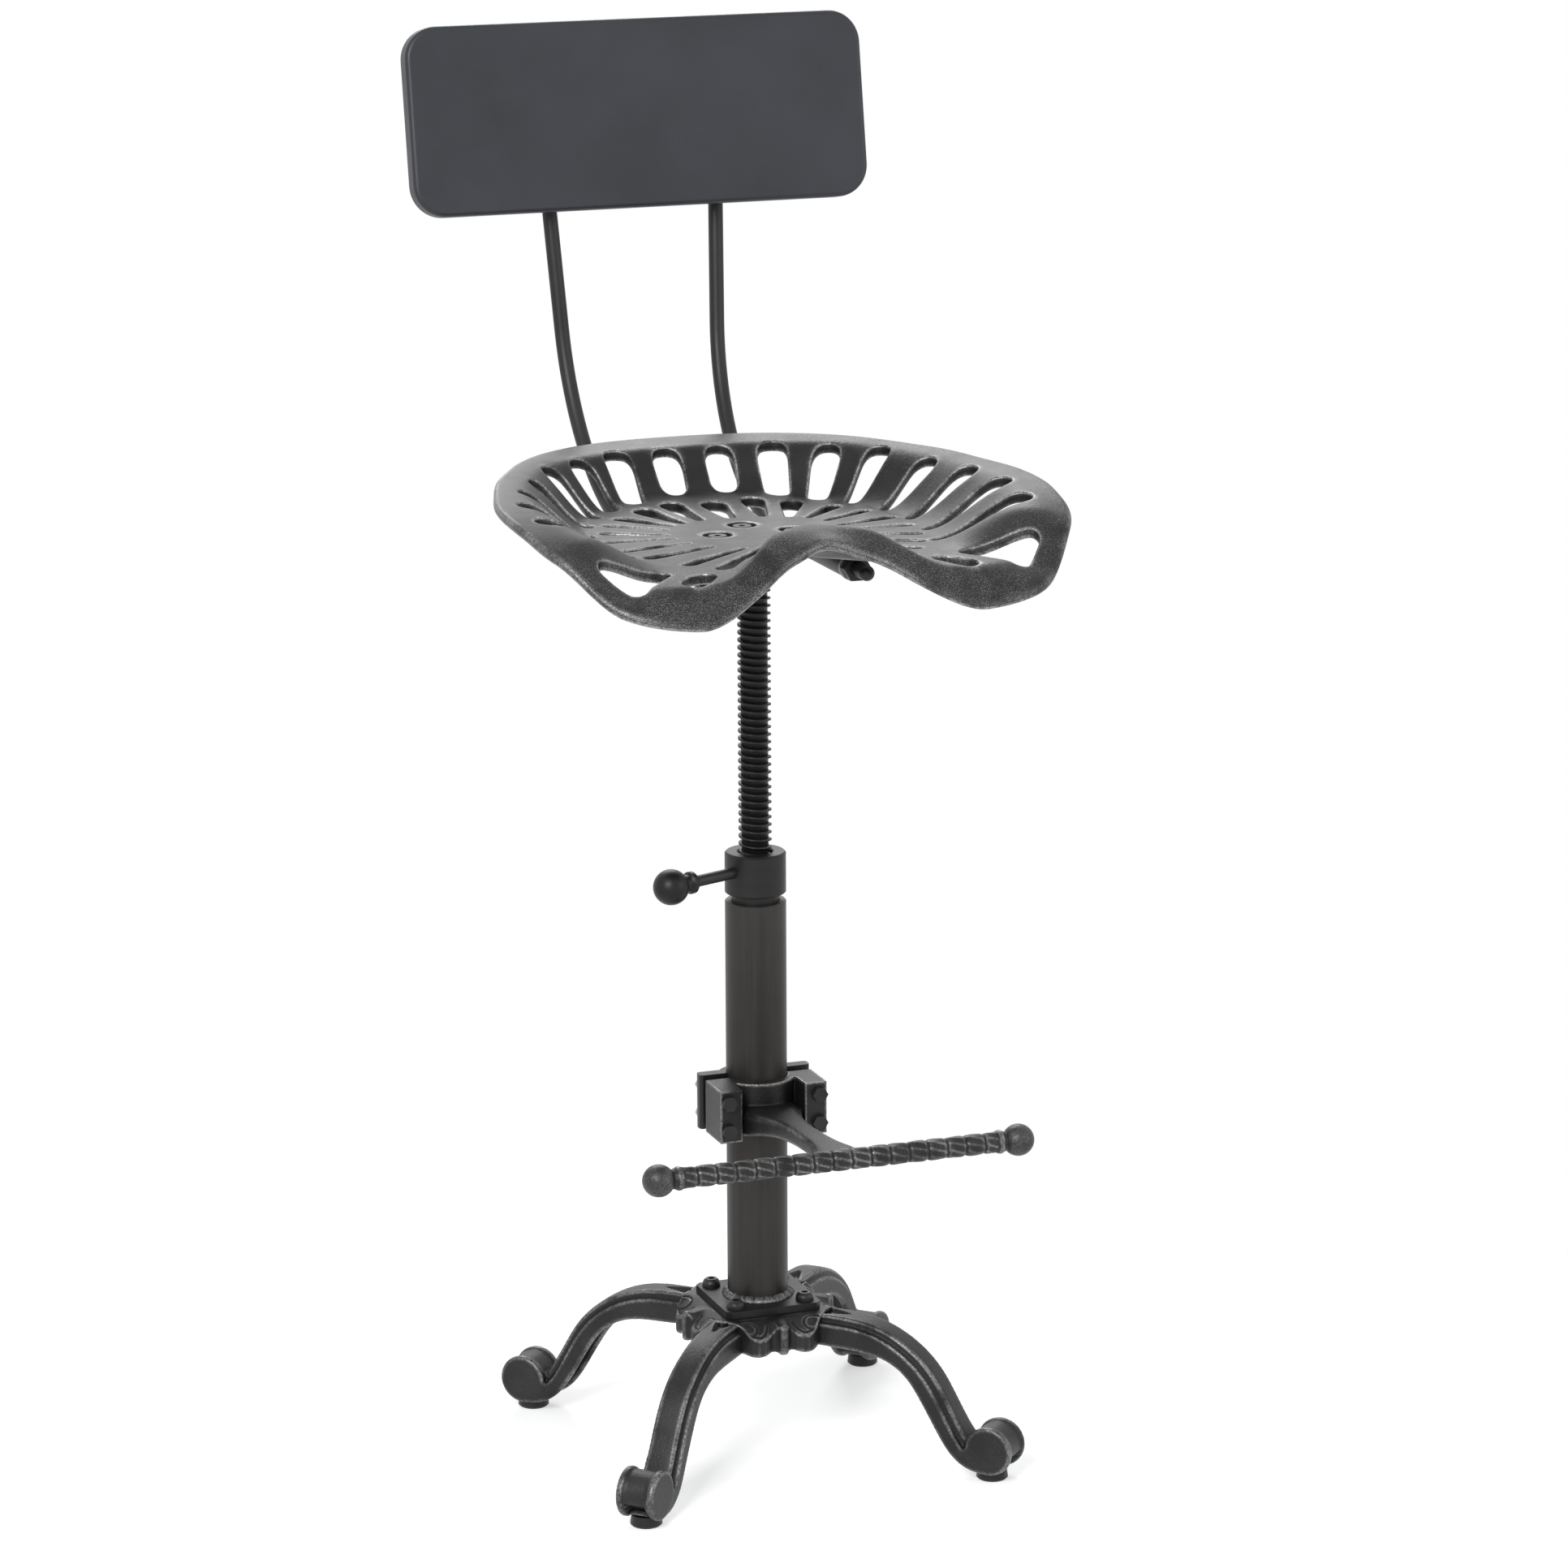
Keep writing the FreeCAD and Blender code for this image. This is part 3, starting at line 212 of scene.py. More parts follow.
def cast_group():
    """Sand-cast iron: dark skin, rubbed edges, painted shade darkening the hollows, fine grain."""
    colour, number = "NodeSocketColor", "NodeSocketFloat"
    group, t, given, made = new_group("cast_iron", [
        ("Skin", colour, grey(0.036)), ("Rubbed", colour, grey(0.15)), ("Wear", number, 0.5),
        ("Grain", number, 1.0)], [("Colour", colour), ("Roughness", number), ("Normal", "NodeSocketVector")])
    place = t.node("ShaderNodeTexCoord").outputs["Object"]
    edge = t.node("ShaderNodeAttribute", attribute_name="edge").outputs["Fac"]
    shine = t.node("ShaderNodeAttribute", attribute_name="rubbed").outputs["Fac"]
    broad = t.noise(place, 9.0, 4.0)
    patch = t.noise(place, 38.0, 4.0)
    speck = t.noise(place, 520.0, 2.0)
    pits = t.noise(place, 1400.0, 2.0, 0.6)
    shade = t.plus(1.0, t.plus(t.swing(broad, 0.5), t.swing(patch, 0.5)))
    skin = t.mix(t.ramp(shade, 0.8, 1.2), grey(0.020), given.outputs["Skin"])
    # rubbed edges are broken up by patches and by the grain
    worn = t.times(t.ramp(edge, 0.06, 0.5), t.ramp(patch, 0.28, 0.60))
    worn = t.times(t.times(worn, t.ramp(speck, 0.35, 0.6, 0.35, 1.0)), given.outputs["Wear"])
    broken = t.times(shine, t.ramp(patch, 0.3, 0.6, 0.3, 1.0))
    sprinkle = t.times(t.ramp(pits, 0.48, 0.68), broken)
    share = t.math("MINIMUM", t.plus(worn, t.times(sprinkle, 0.55)), 1.0)
    tone = t.mix(share, skin, given.outputs["Rubbed"])
    # painted shade: points in hollows, where the edge value is low, are darkened towards near black
    hollow_shade = t.ramp(edge, -0.6, -0.04, 0.7, 0.0)
    t.link(t.mix(hollow_shade, tone, grey(0.008)), made.inputs["Colour"])
    rough = t.plus(t.times(patch, 0.18), t.times(share, -0.12))
    t.link(t.plus(rough, 0.33), made.inputs["Roughness"])
    coarse = t.plus(t.times(speck, 0.7), t.times(patch, 0.8))
    height = t.times(t.plus(t.times(pits, 0.5), coarse), given.outputs["Grain"])
    bump = t.node("ShaderNodeBump", {"Height": height, "Distance": 0.0006, "Strength": 0.55})
    t.link(bump.outputs[0], made.inputs["Normal"])
    return group


def brushed_group():
    """Drawn tube with fine marks along one axis and broad tone changes."""
    colour, number = "NodeSocketColor", "NodeSocketFloat"
    group, t, given, made = new_group("brushed", [
        ("Tone", colour, grey(0.05)), ("Stretch", "NodeSocketVector", (900.0, 900.0, 14.0)),
        ("Marks", number, 0.5)], [("Colour", colour), ("Roughness", number), ("Normal", "NodeSocketVector")])
    place = t.node("ShaderNodeTexCoord").outputs["Object"]
    scaled = t.node("ShaderNodeVectorMath", {0: place, 1: given.outputs["Stretch"]}, operation="MULTIPLY")
    wider = t.node("ShaderNodeVectorMath", {0: scaled.outputs[0], "Scale": 0.16}, operation="SCALE")
    fine = t.noise(scaled.outputs[0], 1.0, 3.0)
    coarse = t.noise(wider.outputs[0], 1.0, 3.0)
    broad = t.plus(t.times(t.noise(place, 11.0, 4.0), 0.4), t.times(t.noise(place, 4.5, 2.0), 0.6))
    marks = t.times(t.plus(t.swing(fine, 0.8), t.swing(coarse, 0.9)), given.outputs["Marks"])
    level = t.plus(marks, t.swing(broad, 1.6))
    bright = t.node("ShaderNodeVectorMath", {0: given.outputs["Tone"], "Scale": t.plus(1.0, level)},
                    operation="SCALE")
    t.link(bright.outputs[0], made.inputs["Colour"])
    t.link(t.plus(0.36, t.times(fine, 0.16)), made.inputs["Roughness"])
    height = t.times(fine, given.outputs["Marks"])
    bump = t.node("ShaderNodeBump", {"Height": height, "Distance": 0.00008, "Strength": 0.5})
    t.link(bump.outputs[0], made.inputs["Normal"])
    return group


GROUPS = {}


def surface(name, group, sockets, shader):
    """Material whose colour, roughness and normal come from a shared group."""
    material = bpy.data.materials.new(name)
    material.use_nodes = True
    t = Tree(material.node_tree)
    principled = material.node_tree.nodes["Principled BSDF"]
    if group not in GROUPS:
        GROUPS[group] = {"cast_iron": cast_group, "brushed": brushed_group}[group]()
    used = t.node("ShaderNodeGroup", node_tree=GROUPS[group])
    for label, value in sockets.items():
        used.inputs[label].default_value = value
    t.link(used.outputs["Colour"], principled.inputs["Base Color"])
    t.link(used.outputs["Roughness"], principled.inputs["Roughness"])
    t.link(used.outputs["Normal"], principled.inputs["Normal"])
    for label, value in shader.items():
        principled.inputs[label].default_value = value
    return material


CAST = {"Metallic": 0.7, "Specular IOR Level": 0.5}
# Each look: shared group, values for the group, values for the shader
LOOKS = {
    "cast": ("cast_iron", {"Skin": grey(0.034, 0.02), "Rubbed": grey(0.22), "Wear": 1.0}, CAST),
    "cast_seat": ("cast_iron", {"Skin": grey(0.030), "Rubbed": grey(0.36), "Wear": 1.0}, CAST),
    "plain_dark": ("cast_iron", {"Skin": grey(0.022), "Rubbed": grey(0.10), "Wear": 0.6, "Grain": 0.25},
                   CAST),
    "tube": ("brushed", {"Tone": grey(0.046, 0.06)}, {"Metallic": 0.8, "Specular IOR Level": 0.5}),
    "collar": ("brushed", {"Tone": grey(0.030), "Stretch": (40.0, 40.0, 1400.0), "Marks": 0.35},
               {"Metallic": 0.8, "Specular IOR Level": 0.5}),
    "panel": ("brushed", {"Tone": (0.036, 0.039, 0.046, 1.0), "Stretch": (60.0, 60.0, 60.0), "Marks": 0.12},
              {"Metallic": 0.4, "Specular IOR Level": 0.5}),
    "rod": ("brushed", {"Tone": grey(0.028), "Stretch": (300.0, 300.0, 60.0), "Marks": 0.3},
            {"Metallic": 0.6}),
    "weld": ("cast_iron", {"Skin": grey(0.060, 0.02), "Rubbed": grey(0.20), "Wear": 0.8, "Grain": 0.8}, CAST),
    "black": ("cast_iron", {"Skin": grey(0.006), "Rubbed": grey(0.04), "Wear": 0.4, "Grain": 0.1},
              {"Metallic": 0.2, "Specular IOR Level": 0.5}),
    "rubber": ("cast_iron", {"Skin": grey(0.012), "Rubbed": grey(0.03), "Wear": 0.2, "Grain": 0.3},
               {"Metallic": 0.0, "Specular IOR Level": 0.3}),
    "zinc": ("brushed", {"Tone": grey(0.42, 0.01), "Stretch": (200.0, 200.0, 200.0), "Marks": 0.3},
             {"Metallic": 1.0}),
    "nylon": ("brushed", {"Tone": grey(0.6, 0.03), "Stretch": (90.0, 90.0, 90.0), "Marks": 0.1},
              {"Metallic": 0.0, "Subsurface Weight": 0.1}),
}


def make_materials():
    return {name: surface(name, *look) for name, look in LOOKS.items()}


# Mesh building

def scene_object(name, mesh, body, material):
    obj = bpy.data.objects.new(name, mesh)
    bpy.context.scene.collection.objects.link(obj)
    mesh.materials.clear()
    mesh.materials.append(material)
    mesh.shade_smooth()
    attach(obj, body)
    return obj


def mesh_from(name, points, faces):
    """Mesh from column coordinates in millimetres."""
    points = np.asarray(points, float) / 1000.0
    points[:, 1] -= AHEAD / 1000.0
    mesh = bpy.data.meshes.new(name)
    mesh.from_pydata(points.tolist(), [], [tuple(int(i) for i in f) for f in faces])
    mesh.validate()
    return mesh


def tidy(mesh, distance):
    bm = bmesh.new()
    bm.from_mesh(mesh)
    bmesh.ops.remove_doubles(bm, verts=bm.verts, dist=distance)
    bmesh.ops.recalc_face_normals(bm, faces=bm.faces)
    bm.to_mesh(mesh)
    bm.free()


class Shells:
    """Closed shells collected in one mesh."""

    def __init__(self):
        self.points = []
        self.faces = []

    def add(self, points, faces):
        start = len(self.points)
        self.points.extend([tuple(p) for p in points])
        self.faces.extend([tuple(start + i for i in face) for face in faces])

    def rings(self, rings, closed_ends=True):
        """Skin over rings that all have the same number of points."""
        count = len(rings[0])
        points = [p for ring in rings for p in ring]
        faces = []
        for k in range(len(rings) - 1):
            for i in range(count):
                j = (i + 1) % count
                faces.append((k * count + i, k * count + j, (k + 1) * count + j, (k + 1) * count + i))
        if closed_ends:
            faces.append(tuple(range(count))[::-1])
            last = (len(rings) - 1) * count
            faces.append(tuple(range(last, last + count)))
        self.add(points, faces)

    def prism(self, plan, low, high):
        self.rings([[(x, y, z) for x, y in plan] for z in (low, high)])

    def mesh(self, name, distance=1e-6):
        """Mesh of the shells, with merged points and outward faces."""
        mesh = mesh_from(name, self.points, self.faces)
        tidy(mesh, distance)
        return mesh


def evaluated(obj):
    """Plain mesh of an object with its modifiers worked in; the object is removed."""
    graph = bpy.context.evaluated_depsgraph_get()
    mesh = bpy.data.meshes.new_from_object(obj.evaluated_get(graph))
    bpy.data.objects.remove(obj)
    return mesh


def fused(mesh, voxel, smooth_steps):
    """One smooth skin round several shells that run into each other, as a casting has."""
    obj = bpy.data.objects.new("fusing", mesh)
    bpy.context.scene.collection.objects.link(obj)
    remesh = obj.modifiers.new("skin", "REMESH")
    remesh.mode = "VOXEL"
    remesh.voxel_size = voxel / 1000.0
    soften = obj.modifiers.new("soften", "SMOOTH")
    soften.factor = 0.5
    soften.iterations = smooth_steps
    bpy.context.view_layer.update()
    return evaluated(obj)


def mark_edges(mesh, reach):
    """Store how far each point stands out from its surroundings: edges high, hollows low."""
    count = len(mesh.vertices)
    co = np.empty(count * 3)
    mesh.vertices.foreach_get("co", co)
    co = co.reshape(-1, 3)
    no = np.empty(count * 3)
    mesh.vertex_normals.foreach_get("vector", no)
    no = no.reshape(-1, 3)
    pairs = np.empty(len(mesh.edges) * 2, dtype=np.int64)
    mesh.edges.foreach_get("vertices", pairs)
    a, b = pairs.reshape(-1, 2).T
    apart = co[a] - co[b]
    length = np.maximum(np.linalg.norm(apart, axis=1), 1e-6)
    bend_a = (apart * no[a]).sum(1) / length ** 2
    bend_b = -(apart * no[b]).sum(1) / length ** 2
    total = np.bincount(a, bend_a, count) + np.bincount(b, bend_b, count)
    near = np.maximum(np.bincount(a, minlength=count) + np.bincount(b, minlength=count), 1)
    value = total / near * 2 * reach
    for _ in range(2):
        around = (np.bincount(a, value[b], count) + np.bincount(b, value[a], count)) / near
        value = 0.4 * value + 0.6 * around
    # high values lighten worn edges; low values give painted shade in the hollows
    store(mesh, "edge", np.clip(value, -1, 1))


def worn_and_shaded_object(name, mesh, body, material, rubbed, reach=0.0025):
    """Scene object whose edges, hollows and rubbed places are stored for the cast iron look: wear on the
    edges, painted shade in the hollows.
    """
    mark_edges(mesh, reach)
    store(mesh, "rubbed", np.broadcast_to(rubbed, len(mesh.vertices)))
    return scene_object(name, mesh, body, material)


def store(mesh, name, values):
    layer = mesh.attributes.get(name) or mesh.attributes.new(name, "FLOAT", "POINT")
    layer.data.foreach_set("value", np.asarray(values, dtype=np.float32))


def coordinates(mesh):
    """Point places in millimetres from the column axis."""
    co = np.empty(len(mesh.vertices) * 3)
    mesh.vertices.foreach_get("co", co)
    co = co.reshape(-1, 3) * 1000.0
    co[:, 1] += AHEAD
    return co


def spline(points, count):
    """Evenly spaced points on a natural cubic curve through the given ones."""
    points = np.asarray(points, float)
    knots = np.concatenate([[0], np.cumsum(np.linalg.norm(np.diff(points, axis=0), axis=1))])
    size = len(points)
    matrix = np.zeros((size, size))
    right = np.zeros((size, points.shape[1]))
    matrix[0, 0] = matrix[-1, -1] = 1
    steps = np.diff(knots)
    for i in range(1, size - 1):
        matrix[i, i - 1:i + 2] = steps[i - 1], 2 * (steps[i - 1] + steps[i]), steps[i]
        right[i] = 6 * ((points[i + 1] - points[i]) / steps[i] - (points[i] - points[i - 1]) / steps[i - 1])
    bends = np.linalg.solve(matrix, right)

    def at(t):
        i = np.clip(np.searchsorted(knots, t, side="right") - 1, 0, size - 2)
        h = steps[i][:, None]
        a = ((knots[i + 1] - t) / steps[i])[:, None]
        b = 1 - a
        return (a * points[i] + b * points[i + 1]
                + ((a ** 3 - a) * bends[i] + (b ** 3 - b) * bends[i + 1]) * h * h / 6)

    dense = at(np.linspace(0, knots[-1], 600))
    run = np.concatenate([[0], np.cumsum(np.linalg.norm(np.diff(dense, axis=0), axis=1))])
    even = np.linspace(0, run[-1], count)
    return np.stack([np.interp(even, run, dense[:, k]) for k in range(points.shape[1])], axis=1)


def lathe_rings(profile, sides, centre=(0, 0, 0), axis="Z"):
    rings = []
    for radius, height in profile:
        ring = []
        for k in range(sides):
            a = 2 * math.pi * k / sides
            x, y, z = radius * math.cos(a), radius * math.sin(a), height
            if axis == "X":
                x, y, z = z, x, y
            if axis == "Y":
                x, y, z = y, z, x
            ring.append((x + centre[0], y + centre[1], z + centre[2]))
        rings.append(ring)
    return rings


def turn_about_axis(points, degrees):
    """Points turned about the column axis."""
    a = math.radians(degrees)
    return [(x * math.cos(a) - y * math.sin(a), x * math.sin(a) + y * math.cos(a), z) for x, y, z in points]


# Seat

# Angle from the back, end of the flat, foot of the wall, its height, shoulder, height, rim, height
SEAT_ROWS = [
    (0, 72, 150, 747.0, 187, 780, 217, 781), (20, 72, 152, 746.0, 192, 780, 216, 782),
    (40, 72, 148, 742.0, 194, 781, 210, 783), (60, 70, 136, 742.0, 186, 780, 203, 783),
    (80, 68, 127, 741.5, 186, 779, 206, 781), (100, 64, 125, 741.5, 196, 777, 220, 778),
    (120, 58, 131, 742.0, 206, 770, 237, 764), (135, 52, 141, 742.0, 205, 740, 238, 728),
    (150, 47, 142, 744.0, 185, 741, 214, 716), (165, 43, 95, 752.0, 130, 768, 170, 746),
    (180, 41, 75, 750.0, 108, 769, 143, 763),
]
SEAT_FORWARD = 20.0
# Angle from the back and distance of the rim
RIM_ROWS = [(0, 224.7), (20, 221.6), (40, 213.0), (60, 204.0), (75, 205.0), (92, 214.8), (108, 226.5),
            (122, 239), (135, 238.5), (148, 217.5), (160, 181.5), (170, 154), (180, 143)]
# Slots on the right half: outer end, inner end, width at each
OUTER_SLOTS = [
    ((22, 165), (20, 131), 27, 20), ((64, 162), (57.5, 116), 27, 18), ((104, 140), (80, 103), 27, 15),
    ((138, 112), (99, 84), 26, 12), ((163, 64), (115, 50), 26, 10), ((183, 18), (124, 12), 27, 9),
    ((196, -32), (124.5, -33), 29, 9), ((196, -86), (117, -77), 30, 9),
]
INNER_SLOTS = [
    ((34, 116), (25, 53), 21, 6), ((62, 103), (42, 46), 20, 5), ((89, 80), (53, 38), 14, 4),
    ((106, 54), (62, 24), 10, 3.5), ((118, 23), (67, 4), 9.5, 3.5), ((123, -11), (66, -12), 9.5, 3.5),
    ((120, -50), (60, -30), 10, 3.5), ((111.5, -83), (47, -48), 11, 4), ((95, -114), (28, -60), 13, 4),
    ((77, -146), (8, -57), 15, 4),
]
WEDGE = [(99, -124), (181, -147), (151, -182)]
WEDGE_CORNER = 8.0
MIDDLE_SLOT = ((0, 112), (0, 55), 24, 7)
FRONT_SLOT = ((113, -180), (90, -151), 22, 20)
# How far each slot sits round the dish from its even place, by its angle from the back
SLIP_ANGLES = [-135, -115, -60, -20, 0, 20, 50, 80, 112, 135]
SLIPS = [0, 3.0, 3.2, 1.2, 1.5, 2.2, 4.6, 5.4, 4.4, 0]
SLOT_EDGE = 1.7
RIM_EDGE = 4.0
HOLE = 11.25
BORE = 4.35
RECESS = 3.6
NET = 3.6
SEAT_HOLES = [(-31.0, -5.0), (31.0, -5.0), (0.0, 26.0)]


def smooth(xs, ys, x, flat_ends=False):
    """Curve through the points that never overshoots them; xs and ys may hold a column per point."""
    xs = np.asarray(xs, float)
    ys = np.asarray(ys, float)
    x = np.asarray(x, float)
    if xs.ndim == 1:
        xs = np.repeat(xs[:, None], x.size, axis=1)
    if ys.ndim == 1:
        ys = np.repeat(ys[:, None], x.size, axis=1)
    steps = np.diff(xs, axis=0)
    rises = np.diff(ys, axis=0) / steps
    slopes = np.zeros_like(ys)
    if not flat_ends:
        slopes[0] = rises[0]
        slopes[-1] = rises[-1]
    left = 2 * steps[1:] + steps[:-1]
    right = steps[1:] + 2 * steps[:-1]
    same = rises[:-1] * rises[1:] > 0
    safe = np.where(same, rises[:-1], 1.0), np.where(same, rises[1:], 1.0)
    slopes[1:-1] = np.where(same, (left + right) / (left / safe[0] + right / safe[1]), 0.0)
    result = ys[-1] + slopes[-1] * (x - xs[-1])
    for i in range(len(xs) - 1):
        f = (x - xs[i]) / steps[i]
        value = (ys[i] * (1 + 2 * f) * (1 - f) ** 2 + slopes[i] * steps[i] * f * (1 - f) ** 2
                 + ys[i + 1] * f * f * (3 - 2 * f) + slopes[i + 1] * steps[i] * f * f * (f - 1))
        result = np.where((x >= xs[i]) & (x < xs[i + 1]), value, result)
    return result


ROW_ANGLES = [row[0] for row in SEAT_ROWS]
FINE = np.linspace(0, 180, 721)
FINE_ROWS = [smooth(ROW_ANGLES, [row[k] for row in SEAT_ROWS], FINE, True) for k in range(1, 8)]


def seat_height(x, y):
    reach = np.hypot(x, y + SEAT_FORWARD)
    angle = np.degrees(np.arctan2(np.abs(x), y + SEAT_FORWARD))
    rows = [np.interp(angle, FINE, row) for row in FINE_ROWS]
    flat, foot, foot_up, shoulder, shoulder_up, rim, rim_up = rows
    level = np.full_like(reach, PLATEAU)
    return smooth(np.stack([0 * reach - 1, flat, foot, shoulder, rim]),
                  np.stack([level, level, foot_up, shoulder_up, rim_up]), reach)


def rim_loop(count=420):
    angle = np.linspace(0, 360, count, endpoint=False)
    side = np.abs((angle + 180) % 360 - 180)
    reach = smooth([row[0] for row in RIM_ROWS], [row[1] for row in RIM_ROWS], side, True)
    turn = np.radians(angle)
    reach = reach - 0.1
    return np.stack([reach * np.sin(turn), -SEAT_FORWARD + reach * np.cos(turn)], axis=1)


def slot_loop(outer, inner, outer_wide, inner_wide, count=26):
    outer = np.array(outer, float)
    inner = np.array(inner, float)
    length = np.linalg.norm(outer - inner)
    ahead = (outer - inner) / length
    side = np.array([ahead[1], -ahead[0]])
    outer_cap = min(outer_wide * 0.58, length * 0.48)
    inner_cap = min(inner_wide * 0.5, length * 0.45)
    along = length * (1 - np.cos(math.pi * (np.arange(count) + 0.5) / count)) / 2
    half = (inner_wide + (outer_wide - inner_wide) * along / length) / 2
    near = along < inner_cap
    half[near] *= np.sqrt(1 - (1 - along[near] / inner_cap) ** 2)
    far = length - along < outer_cap
    half[far] *= np.sqrt(1 - (1 - (length - along[far]) / outer_cap) ** 2)
    right = inner + ahead * along[:, None] + side * half[:, None]
    left = inner + ahead * along[:, None] - side * half[:, None]
    return np.concatenate([[inner], right, [outer], left[::-1]])


def rounded_loop(corners, radius, count=8):
    corners = np.asarray(corners, float)
    points = []
    for k in range(len(corners)):
        here, before, after = corners[k], corners[k - 1], corners[(k + 1) % len(corners)]
        back = (before - here) / np.linalg.norm(before - here)
        on = (after - here) / np.linalg.norm(after - here)
        half = math.acos(back @ on) / 2
        middle = (back + on) / np.linalg.norm(back + on)
        centre = here + middle * radius / math.sin(half)
        start = here + back * radius / math.tan(half) - centre
        end = here + on * radius / math.tan(half) - centre
        a, b = math.atan2(start[1], start[0]), math.atan2(end[1], end[0])
        b = a + (b - a + math.pi) % (2 * math.pi) - math.pi
        points += [centre + radius * np.array([math.cos(t), math.sin(t)]) for t in np.linspace(a, b, count)]
    return np.array(points)


def even_loop(loop, spacing):
    """The same closed outline with evenly spaced points."""
    closed = np.concatenate([loop, loop[:1]])
    run = np.concatenate([[0], np.cumsum(np.linalg.norm(np.diff(closed, axis=0), axis=1))])
    count = max(12, int(run[-1] / spacing))
    even = np.linspace(0, run[-1], count, endpoint=False)
    return np.stack([np.interp(even, run, closed[:, k]) for k in (0, 1)], axis=1)


def outward(loop):
    """Unit normals of a closed outline, pointing away from its inside."""
    ahead = np.roll(loop, -1, axis=0) - np.roll(loop, 1, axis=0)
    ahead /= np.linalg.norm(ahead, axis=1)[:, None]
    normal = np.stack([ahead[:, 1], -ahead[:, 0]], axis=1)
    area = np.sum(loop[:, 0] * np.roll(loop[:, 1], -1) - loop[:, 1] * np.roll(loop[:, 0], -1))
    return normal if area > 0 else -normal


def inside(points, loop):
    x, y = points[:, 0], points[:, 1]
    result = np.zeros(len(points), bool)
    x1, y1 = loop[:, 0], loop[:, 1]
    x2, y2 = np.roll(x1, -1), np.roll(y1, -1)
    for k in range(len(loop)):
        crosses = (y1[k] > y) != (y2[k] > y)
        if crosses.any():
            where = (x2[k] - x1[k]) * (y - y1[k]) / (y2[k] - y1[k] + 1e-12) + x1[k]
            result ^= crosses & (x < where)
    return result


def slipped(loop):
    """A slot moved a little round the dish, as the pattern sits on the casting; the front stays in place."""
    middle = loop.mean(axis=0)
    side = math.degrees(math.atan2(abs(middle[0]), middle[1] + SEAT_FORWARD))
    side = math.copysign(side, middle[0])
    turn = -math.radians(np.interp(side, SLIP_ANGLES, SLIPS))
    x, y = loop[:, 0], loop[:, 1] + SEAT_FORWARD
    return np.stack([x * math.cos(turn) - y * math.sin(turn),
                     x * math.sin(turn) + y * math.cos(turn) - SEAT_FORWARD], axis=1)


def seat_loops():
    """Every opening in the seat, as closed outlines."""
    wedge = rounded_loop(WEDGE, WEDGE_CORNER)
    loops = [slipped(slot_loop(*MIDDLE_SLOT)), wedge, wedge * (-1, 1)]
    for outer, inner, outer_wide, inner_wide in OUTER_SLOTS + INNER_SLOTS + [FRONT_SLOT]:
        loop = slot_loop(outer, inner, outer_wide, inner_wide)
        loops += [slipped(loop), slipped(loop * (-1, 1))]
    return [even_loop(loop, 2.4) for loop in loops]


def rounded_steps(radius):
    """Way round an edge from the upper skin to the lower one: offset and depth."""
    steps = [(radius * (1 - math.sin(a)), radius * (1 - math.cos(a)))
             for a in np.radians([0, 22.5, 45, 67.5, 90])]
    under = [(offset, SEAT_THICK - depth) for offset, depth in steps[::-1]]
    return steps + [(0.0, SEAT_THICK / 2)] + under


def seat_bands():
    """Each border of the casting: its outline, the way round its edge, and its side."""
    bands = [(rim_loop(), rounded_steps(RIM_EDGE), -1.0)]
    bands += [(loop, rounded_steps(SLOT_EDGE), 1.0) for loop in seat_loops()]
    hole_steps = [(0.8, 0.0), (0.3, 0.25), (0.0, 0.9), (0.0, RECESS - 0.3), (-0.3, RECESS),
                  (BORE - HOLE, RECESS), (BORE - HOLE, SEAT_THICK), (0.8, SEAT_THICK)]
    circle = np.linspace(0, 2 * math.pi, 48, endpoint=False)
    for x, y in SEAT_HOLES:
        ring = np.stack([x + HOLE * np.cos(circle), y + HOLE * np.sin(circle)], axis=1)
        bands.append((ring, hole_steps, 1.0))
    return bands


def inside_borders(points, borders):
    good = inside(points, borders[0])
    for border in borders[1:]:
        good &= ~inside(points, border)
    return good


def net_between(borders):
    """Flat triangles over an even net of points between the rim and the openings."""
    grid = []
    for row in range(-62, 62):
        x = np.arange(-66, 66) * NET + (NET / 2 if row % 2 else 0)
        grid.append(np.stack([x, np.full_like(x, row * NET * 0.866)], axis=1))
    grid = np.concatenate(grid)
    grid = grid[inside_borders(grid, borders)]
    every = np.concatenate(borders)
    gaps = [np.linalg.norm(block[:, None] - every[None], axis=2).min(axis=1)
            for block in np.array_split(grid, 8)]
    flat = np.concatenate([every, grid[np.concatenate(gaps) > NET * 0.55]])
    edges = []
    for border in borders:
        start, count = len(edges), len(border)
        edges += [(start + i, start + (i + 1) % count) for i in range(count)]
    verts, _, faces, _, _, _ = delaunay_2d_cdt([Vector(p) for p in flat], edges, [], 0, 1e-5)
    flat = np.array([(v.x, v.y) for v in verts])
    faces = np.array([list(f) for f in faces])
    return flat, faces[inside_borders(flat[faces].mean(axis=1), borders)]


